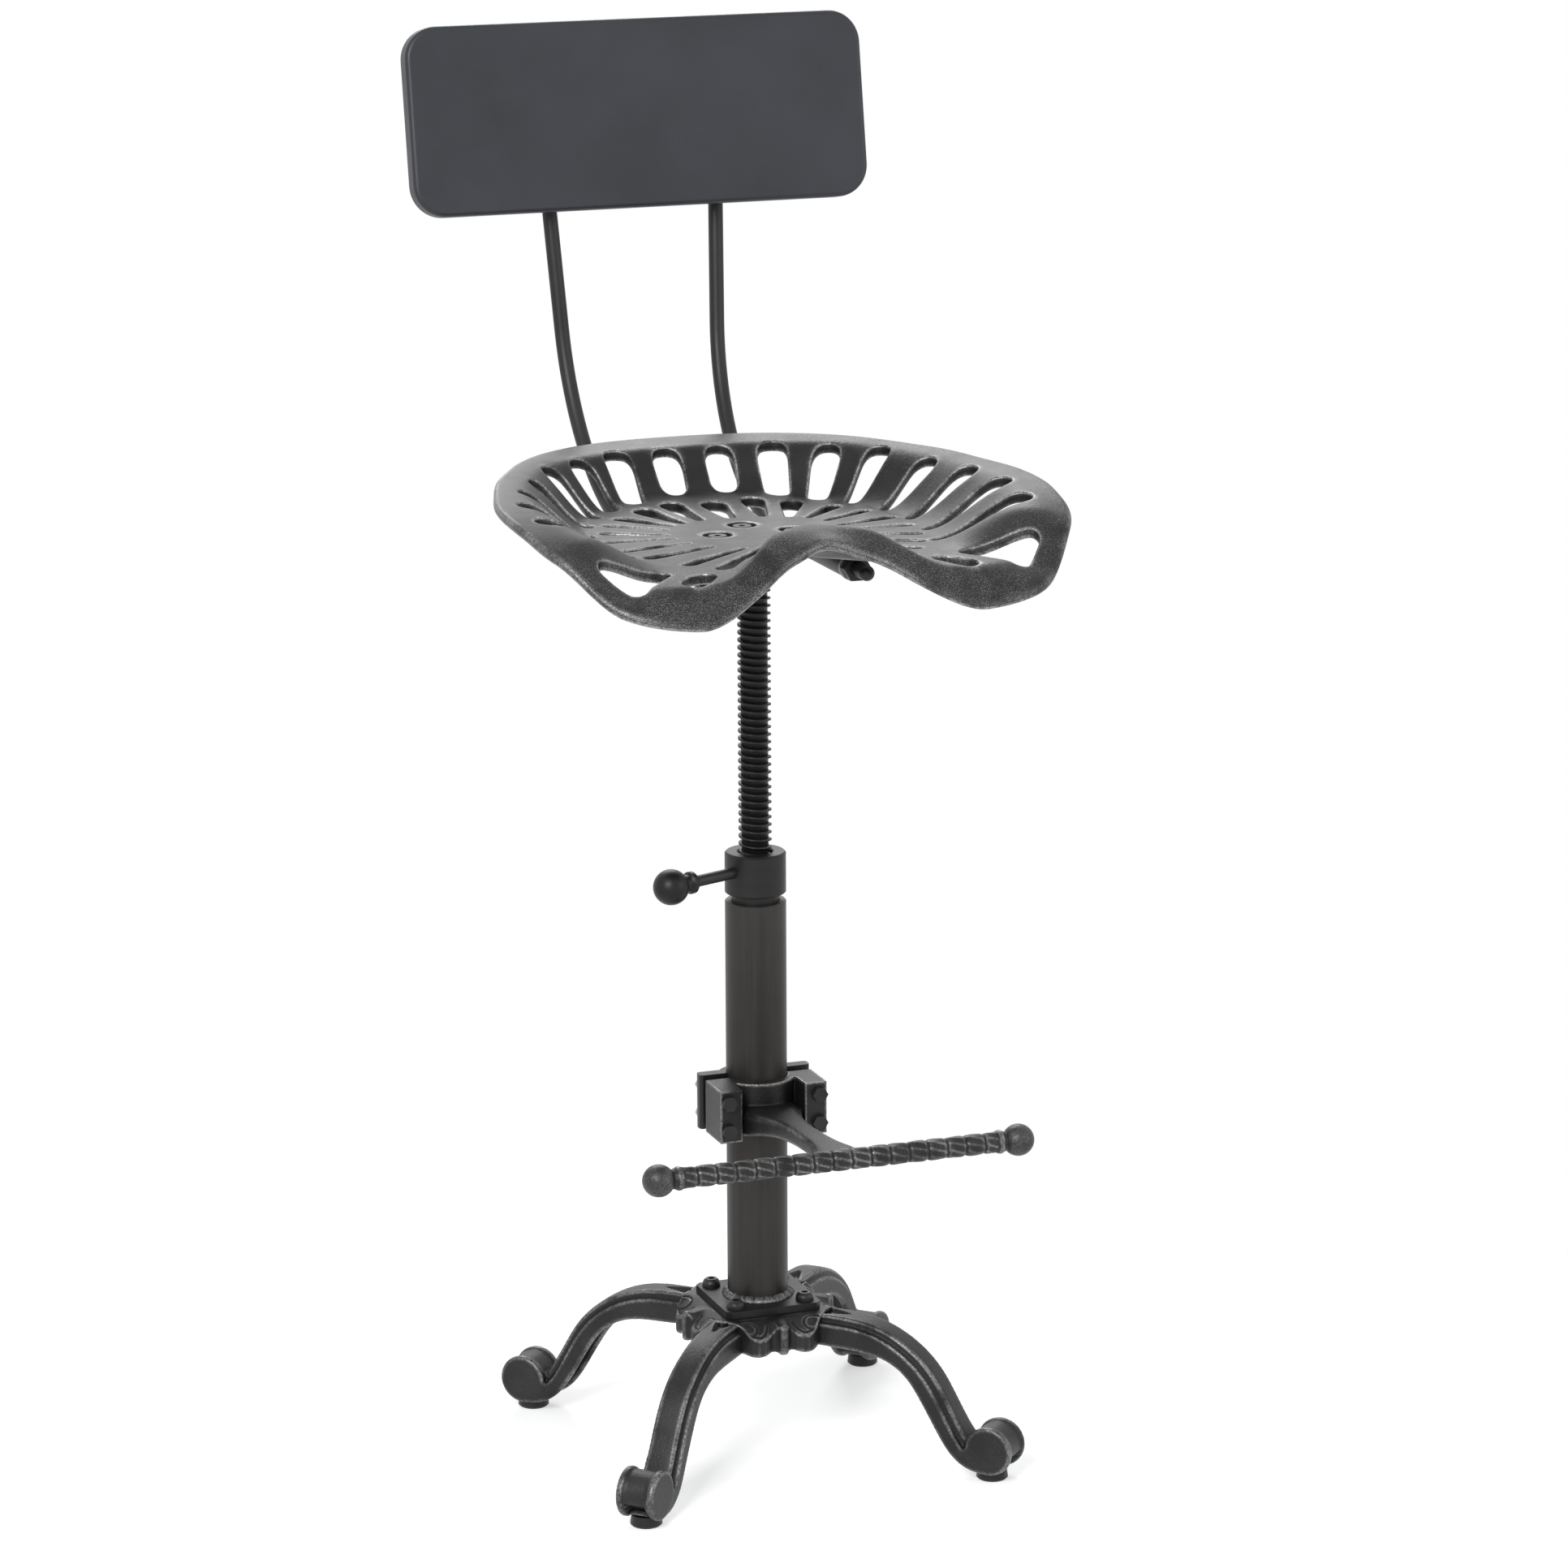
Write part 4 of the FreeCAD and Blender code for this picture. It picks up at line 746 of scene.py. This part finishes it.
def make_seat(materials):
    bands = seat_bands()
    borders = [loop + outward(loop) * (side * steps[0][0]) for loop, steps, side in bands]
    flat, faces = net_between(borders)
    up = seat_height(flat[:, 0], flat[:, 1])
    shells = Shells()
    shells.add(np.column_stack([flat, up]), faces.tolist())
    shells.add(np.column_stack([flat, up - SEAT_THICK]), faces[:, ::-1].tolist())
    for loop, steps, side in bands:
        normal = outward(loop)
        rings = []
        for offset, depth in steps:
            spot = loop + normal * (side * offset)
            rings.append(np.column_stack([spot, seat_height(spot[:, 0], spot[:, 1]) - depth]))
        shells.rings(rings, closed_ends=False)
    mesh = shells.mesh("seat_casting", 2e-6)
    co = coordinates(mesh)
    # the front of the seat and the rim are rubbed bright by use
    front = np.clip((-co[:, 1] - 95) / 50, 0, 1) * np.clip(1.5 - np.abs(co[:, 0]) / 190, 0, 1)
    reach = np.hypot(co[:, 0], co[:, 1] + SEAT_FORWARD)
    angle = np.degrees(np.arctan2(np.abs(co[:, 0]), co[:, 1] + SEAT_FORWARD))
    rim = np.interp(angle, [row[0] for row in RIM_ROWS], [row[1] for row in RIM_ROWS])
    lipped = np.clip(1 - (rim - reach) / 16, 0, 1)
    rubbed = np.clip(front + 0.45 * lipped, 0, 1)
    seat = worn_and_shaded_object("seat_casting", mesh, "seat_top", materials["cast_seat"], rubbed)
    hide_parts("seat")


# Base

# Outline of a leg from the side: distance out and height, along its top and along its underside
LEG_TOP = [(28, 118.2), (60, 118.2), (80, 118.0), (94, 116.8), (109.5, 113.3), (124.5, 107), (139, 97.8),
           (151, 87), (160, 75.5), (167.5, 63), (174, 51.5), (180, 41), (186, 32.5), (192, 27.5),
           (198, 25.5), (204, 25)]
LEG_FLOOR = [(28, 93), (86, 92.4), (105, 90.8), (120, 86), (133.5, 76.5), (143.8, 63), (153.5, 47),
             (164.5, 29), (175.5, 16.2), (187, 9.2), (196, 7.0), (204, 6.6)]
# Scrolled foot: distance out, height and radius of its drum
FOOT = (205.0, 26.0, 19.5)
GLIDE_CIRCLE = 202.7
HUB_TOP = 118.3
HUB_CORE = 41.0
SCROLL_DISC = (26.3, 52.2)
SCROLL_SIZE = (6.2, 5.6)
COLUMN_RADIUS = 24.0
WELD_FOOT = 124.4
WELD_SIZE = 4.5
# Rim of the hub between two legs: distance aside, distance ahead, rim height, lower edge height
HUB_RIM = [(0, 61.0, 115.2, 93.4), (4.2, 60.4, 114.6, 93.6), (6.4, 58.6, 112.4, 94.0),
           (8.6, 58.4, 110.0, 94.0), (12, 60.4, 108.0, 93.2), (16, 61.8, 106.9, 92.2),
           (20, 62.0, 106.6, 91.8), (24, 60.8, 107.6, 92.0), (28, 58.2, 110.4, 93.0),
           (31, 55.2, 114.4, 94.0), (33.5, 52.4, 117.4, 94.2), (37, 49.0, 118.2, 94.0),
           (41, 45.0, 118.2, 94.0)]


def nearest_below(top, floor):
    """For each point of the upper curve, the point of the lower curve square below it."""
    ahead = np.gradient(top, axis=0)
    ahead /= np.linalg.norm(ahead, axis=1)[:, None]
    down = np.stack([ahead[:, 1], -ahead[:, 0]], axis=1)
    picked = []
    for spot, way in zip(top, down):
        apart = floor - spot
        off = np.abs(apart[:, 0] * way[1] - apart[:, 1] * way[0])
        off[(apart @ way) < 0] = 1e3
        picked.append(int(np.argmin(off + 0.02 * (apart @ way))))
    run = np.maximum.accumulate(np.array(picked, float))
    run = np.convolve(np.pad(run, 2, mode="edge"), np.ones(5) / 5, mode="valid")
    spots = np.arange(len(floor))
    return np.stack([np.interp(run, spots, floor[:, k]) for k in (0, 1)], axis=1)


def leg_rings():
    """Sections of a leg that runs along +X: a raised crown on top and a channel below."""
    top = spline(LEG_TOP, 96)
    low = nearest_below(top, spline(LEG_FLOOR, 500))
    rings = []
    for t, b in zip(top, low):
        deep = np.linalg.norm(b - t)
        down = (b - t) / deep
        foot = np.clip((t[0] - 172) / 22, 0, 1)
        wide = 1.4 * foot * foot * (3 - 2 * foot)
        channel = min(10.0 + 12.0 * np.clip((t[0] - 186) / 6, 0, 1), deep - 2.0)
        # half width and depth, from the crown down the cove and the side to the channel below
        half = [(0.0, 0.0), (5.0, 0.05), (8.8, 0.3), (10.4, 1.1), (10.9, 2.5), (10.4, 4.2), (10.5, 5.7),
                (11.2, 6.7), (12.4, 7.0), (13.7, 6.6), (14.7, 7.0), (14.6, 8.0), (14.4, deep * 0.5 + 4),
                (14.4, deep - 2.6), (14.0, deep - 0.9), (12.8, deep), (10.4, deep), (9.2, deep - 0.8),
                (8.6, deep - 2.2), (8.5, min(channel + 1.5, deep - 2.2)), (7.0, channel), (0.0, channel)]
        half = [(w + wide * min(w, 14.0) / 14.0, v) for w, v in half]
        section = half + [(-w, v) for w, v in half[-2:0:-1]]
        rings.append([(t[0] + down[0] * v, w, t[1] + down[1] * v) for w, v in section])
    return rings


def make_legs():
    shells = Shells()
    leg = leg_rings()
    reach, high, size = FOOT
    half_drum = [(size - 1.7, 9.0), (size - 1.5, 9.9), (size - 0.5, 10.4), (size, 11.4), (size, 14.2),
                 (size - 0.5, 15.6), (size - 2.0, 16.2), (0.01, 16.2)]
    profile = [(r, -w) for r, w in half_drum[::-1]] + half_drum
    for degrees in (45, 135, 225, 315):
        shells.rings([turn_about_axis(ring, degrees) for ring in leg])
        drum = lathe_rings(profile, 84, axis="Y", centre=(reach, 0.0, high))
        shells.rings([turn_about_axis(ring, degrees) for ring in drum])
    mesh = fused(shells.mesh("leg_shells"), 1.45, 1)
    mesh.name = "base_legs"
    co = coordinates(mesh)
    slant = math.sqrt(0.5)
    turned = np.abs(co[:, :2])
    along = (turned[:, 0] + turned[:, 1]) * slant
    aside = np.abs(turned[:, 0] - turned[:, 1]) * slant
    # pointed recess on each leg root
    wing = np.clip((84 - along) / 24, 0, 1) * 8.0 * (along > 56)
    deep = np.clip((wing - aside) / 1.6, 0, 1) * (co[:, 2] > 113)
    co[:, 2] -= 3.4 * deep
    # flat seats for the glides
    glide = np.hypot(along - GLIDE_CIRCLE, aside) < 13.0
    co[glide & (co[:, 2] < 9.0), 2] = 9.0
    # window low on the outer face of each foot
    outer = (along > 216) & (aside < 8.6) & (np.abs(co[:, 2] - 16.5) < 4.6)
    co[:, :2] -= np.sign(co[:, :2]) * (7.0 * outer * slant)[:, None]
    return place_back(mesh, co)


def place_back(mesh, co):
    """Put moved points, in column millimetres, back into the mesh."""
    co = co.copy()
    co[:, 1] -= AHEAD
    mesh.vertices.foreach_set("co", (co / 1000.0).ravel())
    mesh.update()
    return mesh


def hub_surface(x, y):
    """Height of the sloping upper face between two legs, for a point ahead of the column."""
    aside = np.abs(x)
    table = np.array(HUB_RIM)
    rim_y = np.interp(aside, table[:, 0], table[:, 1])
    rim_z = np.interp(aside, table[:, 0], table[:, 2])
    run = np.clip((-y - HUB_CORE) / (rim_y - HUB_CORE), 0, 1)
    return HUB_TOP - (HUB_TOP - rim_z) * run ** 1.25


def scroll_path(side):
    """Line cut along each lobe: round the disc beside the leg, then back up to the boss."""
    (aside, ahead), (wide, deep) = SCROLL_DISC, SCROLL_SIZE
    disc = [(side * (aside + wide * math.cos(a)), -ahead + deep * math.sin(a))
            for a in np.radians(np.linspace(15, 265, 26))]
    tail = [(23.0, -58.6), (19.5, -59.6), (15.5, -58.2), (12.3, -54.5), (10.4, -50.5)]
    return spline(disc + [(side * x, y) for x, y in tail], 70)


def make_hub():
    shells = Shells()
    aside = np.linspace(-HUB_CORE, HUB_CORE, 165)
    table = np.array(HUB_RIM)
    rows = [smooth(table[:, 0], table[:, k], np.abs(aside), True) for k in (1, 2, 3)]
    boss = [(0.01, 92.2), (3.2, 92.4), (4.3, 94.0), (4.0, 99.0), (4.4, 108.0), (4.1, 113.6), (2.6, 115.8),
            (0.01, 116.3)]
    boss = lathe_rings(boss, 28, centre=(0, -59.4, 0))
    for quarter in range(4):
        rings = []
        for x, rim_y, rim_z, low in zip(aside, *rows):
            ring = []
            for t in np.linspace(0, 1, 12):
                y = -34.0 - t * (rim_y - 1.6 - 34.0)
                ring.append((x, y, float(hub_surface(np.array(x), np.array(y)))))
            edge = [(0.9, rim_z + 0.5), (0.2, rim_z), (-0.2, rim_z - 1.2), (0, rim_z - 3.0), (0, low + 3.0),
                    (0.3, low + 0.9), (1.4, low), (5.4, low), (6.6, low + 1.2), (7.0, 107.0)]
            ring += [(x, -rim_y + inward, z) for inward, z in edge] + [(x, -34.0, 108.5)]
            rings.append(ring)
        shells.rings([turn_about_axis(ring, 90 * quarter) for ring in rings])
        shells.rings([turn_about_axis(ring, 90 * quarter) for ring in boss])
    shells.prism([(-42, -42), (42, -42), (42, 42), (-42, 42)], 109.5, HUB_TOP)
    mesh = fused(shells.mesh("hub_shells"), 0.85, 1)
    mesh.name = "base_hub"
    co = coordinates(mesh)
    # discs that stand up a little, and the lines cut round them
    for quarter in range(4):
        turn = math.radians(-90 * quarter)
        x = co[:, 0] * math.cos(turn) - co[:, 1] * math.sin(turn)
        y = co[:, 0] * math.sin(turn) + co[:, 1] * math.cos(turn)
        face = (y < -42) & (np.abs(x) < 36) & (co[:, 2] > hub_surface(x, y) - 2.0)
        for side in (-1, 1):
            disc = np.hypot((x - side * SCROLL_DISC[0]) / SCROLL_SIZE[0],
                            (y + SCROLL_DISC[1]) / SCROLL_SIZE[1])
            co[:, 2] += face * 0.7 * np.clip((1.0 - disc) / 0.12, 0, 1)
            path = scroll_path(side)
            here = np.where(face & (x * side > 2))[0]
            spots = np.stack([x[here], y[here]], axis=1)
            apart = np.linalg.norm(spots[:, None] - path[None], axis=2).min(axis=1)
            co[here, 2] -= 1.1 * np.exp(-(apart / 0.75) ** 2)
    return place_back(mesh, co)


def make_base(materials):
    for mesh in (make_legs(), make_hub()):
        worn_and_shaded_object(mesh.name, mesh, "column", materials["cast"], 0.2)
    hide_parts("base_casting")
    make_weld(materials)


def make_weld(materials):
    """Lumpy bead where the column meets its foot plate."""
    sides = 220
    profile = [(-0.2, 0), (1.0, 0), (1.02, 0.10), (0.86, 0.42), (0.55, 0.72), (0.24, 0.95), (0.02, 1.05),
               (-0.2, 1.0)]
    rings = []
    for a in np.linspace(0, 2 * math.pi, sides, endpoint=False):
        lumps = 0.09 * math.sin(9 * a + 0.6) * math.sin(4 * a) + 0.05 * math.sin(23 * a + 1.0)
        size = WELD_SIZE * (1 + lumps + 0.03 * math.sin(41 * a))
        ring = []
        for across, up in profile:
            reach = COLUMN_RADIUS + size * across
            ring.append((reach * math.cos(a), reach * math.sin(a), WELD_FOOT + size * up))
        rings.append(ring)
    shells = Shells()
    shells.rings(rings + rings[:1], closed_ends=False)
    mesh = shells.mesh("weld_bead")
    bead = worn_and_shaded_object("weld_bead", mesh, "column", materials["weld"], 0.8, 0.004)
    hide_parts("column_weld")


# Spindle

def tree_for(name, inputs):
    """Geometry node tree with named inputs, ready for its nodes."""
    tree = bpy.data.node_groups.new(name, "GeometryNodeTree")
    for label, kind, value in inputs:
        socket = tree.interface.new_socket(label, in_out="INPUT", socket_type=kind)
        if value is not None:
            socket.default_value = value
    tree.interface.new_socket("Geometry", in_out="OUTPUT", socket_type="NodeSocketGeometry")
    return tree, Tree(tree), tree.nodes.new("NodeGroupInput"), tree.nodes.new("NodeGroupOutput")


def grown(name, tree, values):
    """Plain mesh grown by a geometry node tree from the given input values."""
    obj = bpy.data.objects.new(name, bpy.data.meshes.new(name))
    bpy.context.scene.collection.objects.link(obj)
    modifier = obj.modifiers.new("grow", "NODES")
    modifier.node_group = tree
    for item in tree.interface.items_tree:
        if item.in_out == "INPUT" and item.name in values:
            modifier[item.identifier] = values[item.name]
    bpy.context.view_layer.update()
    return evaluated(obj)


def painted(t, geometry, given, out):
    """End of a geometry tree: real points and faces, in the given material."""
    realize = t.node("GeometryNodeRealizeInstances", {"Geometry": geometry})
    paint = t.node("GeometryNodeSetMaterial", {"Geometry": realize.outputs["Geometry"],
                                               "Material": given["Material"]})
    t.link(paint.outputs["Geometry"], out.inputs["Geometry"])


def thread_tree():
    """Screw thread: a ridge carried round a helix, over a plain core."""
    number = "NodeSocketFloat"
    tree, t, given, out = tree_for("screw_thread", [
        ("Core radius", number, 0.0105), ("Crest radius", number, 0.013), ("Pitch", number, 0.006),
        ("Start", number, 0.316), ("Turns", number, 60.0), ("Foot width", number, 0.0030),
        ("Crest width", number, 0.0010), ("Material", "NodeSocketMaterial", None)])
    given = given.outputs
    helix = t.node("GeometryNodeCurveSpiral", {
        "Resolution": 36, "Rotations": given["Turns"], "Start Radius": given["Core radius"],
        "End Radius": given["Core radius"], "Height": t.times(given["Turns"], given["Pitch"])})
    upright = t.node("GeometryNodeSetCurveNormal", {"Curve": helix.outputs["Curve"]}, mode="Z_UP")
    rise = t.less(given["Crest radius"], given["Core radius"])
    profile = t.node("GeometryNodeCurvePrimitiveQuadrilateral", {
        "Bottom Width": given["Foot width"], "Top Width": given["Crest width"],
        "Height": t.times(rise, 1.3), "Offset": 0.0}, mode="TRAPEZOID")
    sunk = t.node("ShaderNodeCombineXYZ", {"X": t.times(rise, -0.35)})
    turned = t.node("GeometryNodeTransform", {
        "Geometry": profile.outputs["Curve"], "Rotation": (0.0, 0.0, math.radians(90)),
        "Translation": sunk.outputs[0]})
    ridge = t.node("GeometryNodeCurveToMesh", {
        "Curve": upright.outputs["Curve"], "Profile Curve": turned.outputs["Geometry"], "Fill Caps": True})
    start = t.node("ShaderNodeCombineXYZ", {"Z": given["Start"]})
    lifted = t.node("GeometryNodeTransform", {"Geometry": ridge.outputs["Mesh"],
                                              "Translation": start.outputs[0]})
    painted(t, lifted.outputs["Geometry"], given, out)
    return tree


def make_spindle(materials):
    thread = grown("thread", thread_tree(), {"Turns": 66.0, "Material": materials["black"]})
    thread.transform(Matrix.Translation((0.0, -AHEAD / 1000.0, 0.0)))
    shells = Shells()
    profile = [(0.01, 300), (8, 300), (9, 301), (9, 312.4), (10.6, 313), (10.6, 716), (13, 719), (13, 726),
               (0.01, 726)]
    shells.rings(lathe_rings(profile, 48))
    piece = scene_object("spindle_thread", thread, "seat_top", materials["black"])
    scene_object("spindle_core", shells.mesh("spindle_core"), "seat_top", materials["black"])
    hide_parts("spindle")


# Footrest bar

BAR_REACH = 187.7
BAR_HEIGHT = 289.7
BALL = 12.5
BALL_PLACE = 145.5


def bar_tree():
    """Twisted foot bar: a row of faceted barrels, each turned a little more than the last."""
    number = "NodeSocketFloat"
    tree, t, given, out = tree_for("foot_bar", [
        ("Barrels", "NodeSocketInt", 17), ("Pitch", number, 0.0155), ("Twist", number, 0.35),
        ("Barrel", "NodeSocketObject", None), ("Material", "NodeSocketMaterial", None)])
    given = given.outputs
    step = t.node("ShaderNodeCombineXYZ", {"X": given["Pitch"]})
    length = t.times(t.less(given["Barrels"], 1.0), given["Pitch"])
    start = t.node("ShaderNodeCombineXYZ", {"X": t.times(length, -0.5)})
    line = t.node("GeometryNodeMeshLine", {"Count": given["Barrels"], "Offset": step.outputs[0],
                                           "Start Location": start.outputs[0]})
    shape = t.node("GeometryNodeObjectInfo", {"Object": given["Barrel"]})
    index = t.node("GeometryNodeInputIndex").outputs[0]
    spin = t.node("ShaderNodeCombineXYZ", {"X": t.times(index, given["Twist"])})
    put = t.node("GeometryNodeInstanceOnPoints", {
        "Points": line.outputs["Mesh"], "Instance": shape.outputs["Geometry"], "Rotation": spin.outputs[0]})
    painted(t, put.outputs["Instances"], given, out)
    return tree


def barrel_mesh(radius=8.5, half=7.6, sides=8, twist=0.30):
    """One faceted barrel along X, with rounded facets that lean round the bar."""
    rings = []
    facet = 2 * math.pi / sides
    for f in (-1.0, -0.9, -0.72, -0.35, 0.0, 0.35, 0.72, 0.9, 1.0):
        size = radius * (0.80 + 0.20 * (1 - abs(f) ** 5) ** 0.5)
        ring = []
        for a in np.linspace(0, 2 * math.pi, sides * 5, endpoint=False):
            flat = math.cos(facet / 2) / math.cos(a % facet - facet / 2)
            reach = size * (0.25 + 0.75 * flat)
            turn = a + twist * f
            ring.append((half * f, reach * math.cos(turn), reach * math.sin(turn)))
        rings.append(ring)
    shells = Shells()
    shells.rings(rings)
    mesh = bpy.data.meshes.new("barrel")
    mesh.from_pydata((np.asarray(shells.points) / 1000.0).tolist(), [], shells.faces)
    return mesh


def make_bar(materials):
    barrel = bpy.data.objects.new("barrel", barrel_mesh())
    bpy.context.scene.collection.objects.link(barrel)
    mesh = grown("foot_bar", bar_tree(), {"Barrel": barrel, "Material": materials["cast"]})
    bpy.data.objects.remove(barrel)
    mesh.transform(Matrix.Translation((0.0, -(BAR_REACH + AHEAD) / 1000.0, BAR_HEIGHT / 1000.0)))
    place = (0, -BAR_REACH, BAR_HEIGHT)
    turn = np.linspace(0.62, math.pi - 0.01, 22)
    ball = [(BALL * math.sin(a), BALL_PLACE - BALL * math.cos(a)) for a in turn]
    neck = [(0.01, 118.0), (6.6, 118.0), (7.0, 126.0), (8.9, 128.0), (9.3, 130.5), (8.2, 132.6), (7.6, 134.2)]
    shells = Shells()
    for side in (-1, 1):
        profile = [(radius, side * along) for radius, along in neck + ball]
        shells.rings(lathe_rings(profile, 40, axis="X", centre=place))
    shells.rings(lathe_rings([(7.0, -130), (7.0, 130)], 24, axis="X", centre=place))
    ends = shells.mesh("bar_ends")
    both = bmesh.new()
    both.from_mesh(mesh)
    both.from_mesh(ends)
    joined = bpy.data.meshes.new("foot_bar_all")
    both.to_mesh(joined)
    both.free()
    tidy(joined, 1e-6)
    bar = worn_and_shaded_object("foot_bar", fused(joined, 0.75, 2), "footrest", materials["cast"], 0.4)
    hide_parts("footrest_bar")


# Footrest clamp

CLAMP_BASE = 264.0
CLAMP_TALL = 42.0
CLAMP_BORE = 24.1
CLAMP_OUTSIDE = 31.0
# Arm of the clamp: distance ahead of the column, height over the clamp's base, half width and depth
ARM = [(24.5, 12.0, 25.5, 24.0), (38.0, 13.0, 24.0, 22.0), (55.0, 15.5, 18.5, 18.0),
       (75.0, 18.5, 13.5, 15.0), (100.0, 21.0, 10.8, 13.0), (130.0, 23.3, 10.8, 12.0),
       (160.0, 25.2, 13.5, 12.0), (178.0, 26.0, 18.0, 12.0), (190.0, 26.0, 21.0, 11.0)]


def arm_rings():
    rings = []
    for along, height, half, deep in spline(ARM, 60):
        ring = []
        for a in np.linspace(0, 2 * math.pi, 36, endpoint=False):
            c, s = math.cos(a), math.sin(a)
            wide = half * math.copysign(abs(c) ** 0.35, c) * (1 - 0.07 * s)
            up = deep / 2 * math.copysign(abs(s) ** 0.45, s)
            ring.append((wide, -along, CLAMP_BASE + height + up))
        rings.append(ring)
    return rings


def make_clamp(materials):
    top = CLAMP_BASE + CLAMP_TALL
    shells = Shells()
    turn = np.linspace(math.radians(187), math.radians(353), 60)
    outer = [(CLAMP_OUTSIDE * math.cos(a), CLAMP_OUTSIDE * math.sin(a)) for a in turn]
    inner = [(CLAMP_BORE * math.cos(a), CLAMP_BORE * math.sin(a)) for a in turn[::-1]]
    shells.prism(outer + inner, CLAMP_BASE, top)
    ear = [(25.2, -4.0), (44.0, -4.0), (44.0, -40.0), (26.0, -40.0)]
    for side in (-1, 1):
        shells.prism([(side * x, y) for x, y in ear][::-side], CLAMP_BASE, top)
    shells.rings(arm_rings())
    mesh = fused(shells.mesh("clamp_front"), 1.0, 3)
    co = coordinates(mesh)
    # the skin is pushed back out to the bore
    bore = CLAMP_BORE - 0.05
    reach = np.hypot(co[:, 0], co[:, 1])
    near = (reach < bore) & (co[:, 1] < 0)
    co[near, :2] *= (bore / np.maximum(reach, 1.0))[near, None]
    place_back(mesh, co)
    front = worn_and_shaded_object("clamp_front_skin", mesh, "footrest", materials["cast"], 0.12)
    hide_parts("footrest_clamp_front")


def dress_nodes(materials):
    """Materials for the nodes whose shape is right as it is."""
    looks = {
        "tube": ["column_tube", "tube_bush"],
        "collar": ["lock_collar"],
        "panel": ["backrest_panel"],
        "rod": ["backrest_rod_left", "backrest_rod_right", "lock_lever_rod", "rod_sleeve_left",
                "rod_sleeve_right"],
        "plain_dark": ["column_base_plate", "lock_lever_knob", "seat_flange", "rod_socket_left",
                       "rod_socket_right"],
        "cast": ["footrest_clamp_back"],
        "black": ["base_bolts", "base_washers", "seat_bolts", "rod_nuts", "clamp_bolts"],
        "zinc": ["glide_screws", "guide_washer", "guide_bolt", "seat_nuts", "sleeve_screws", "rod_washers",
                 "panel_screws", "clamp_nuts"],
        "rubber": ["glide_front_left", "glide_front_right", "glide_back_left", "glide_back_right"],
        "nylon": ["spindle_guide"],
    }
    for look, names in looks.items():
        for name in names:
            node = NODES[name]
            node.data.materials.clear()
            node.data.materials.append(materials[look])
            for polygon in node.data.polygons:
                polygon.material_index = 0


add_camera()
add_surroundings()
materials = make_materials()
dress_nodes(materials)
make_seat(materials)
make_base(materials)
make_spindle(materials)
make_bar(materials)
make_clamp(materials)
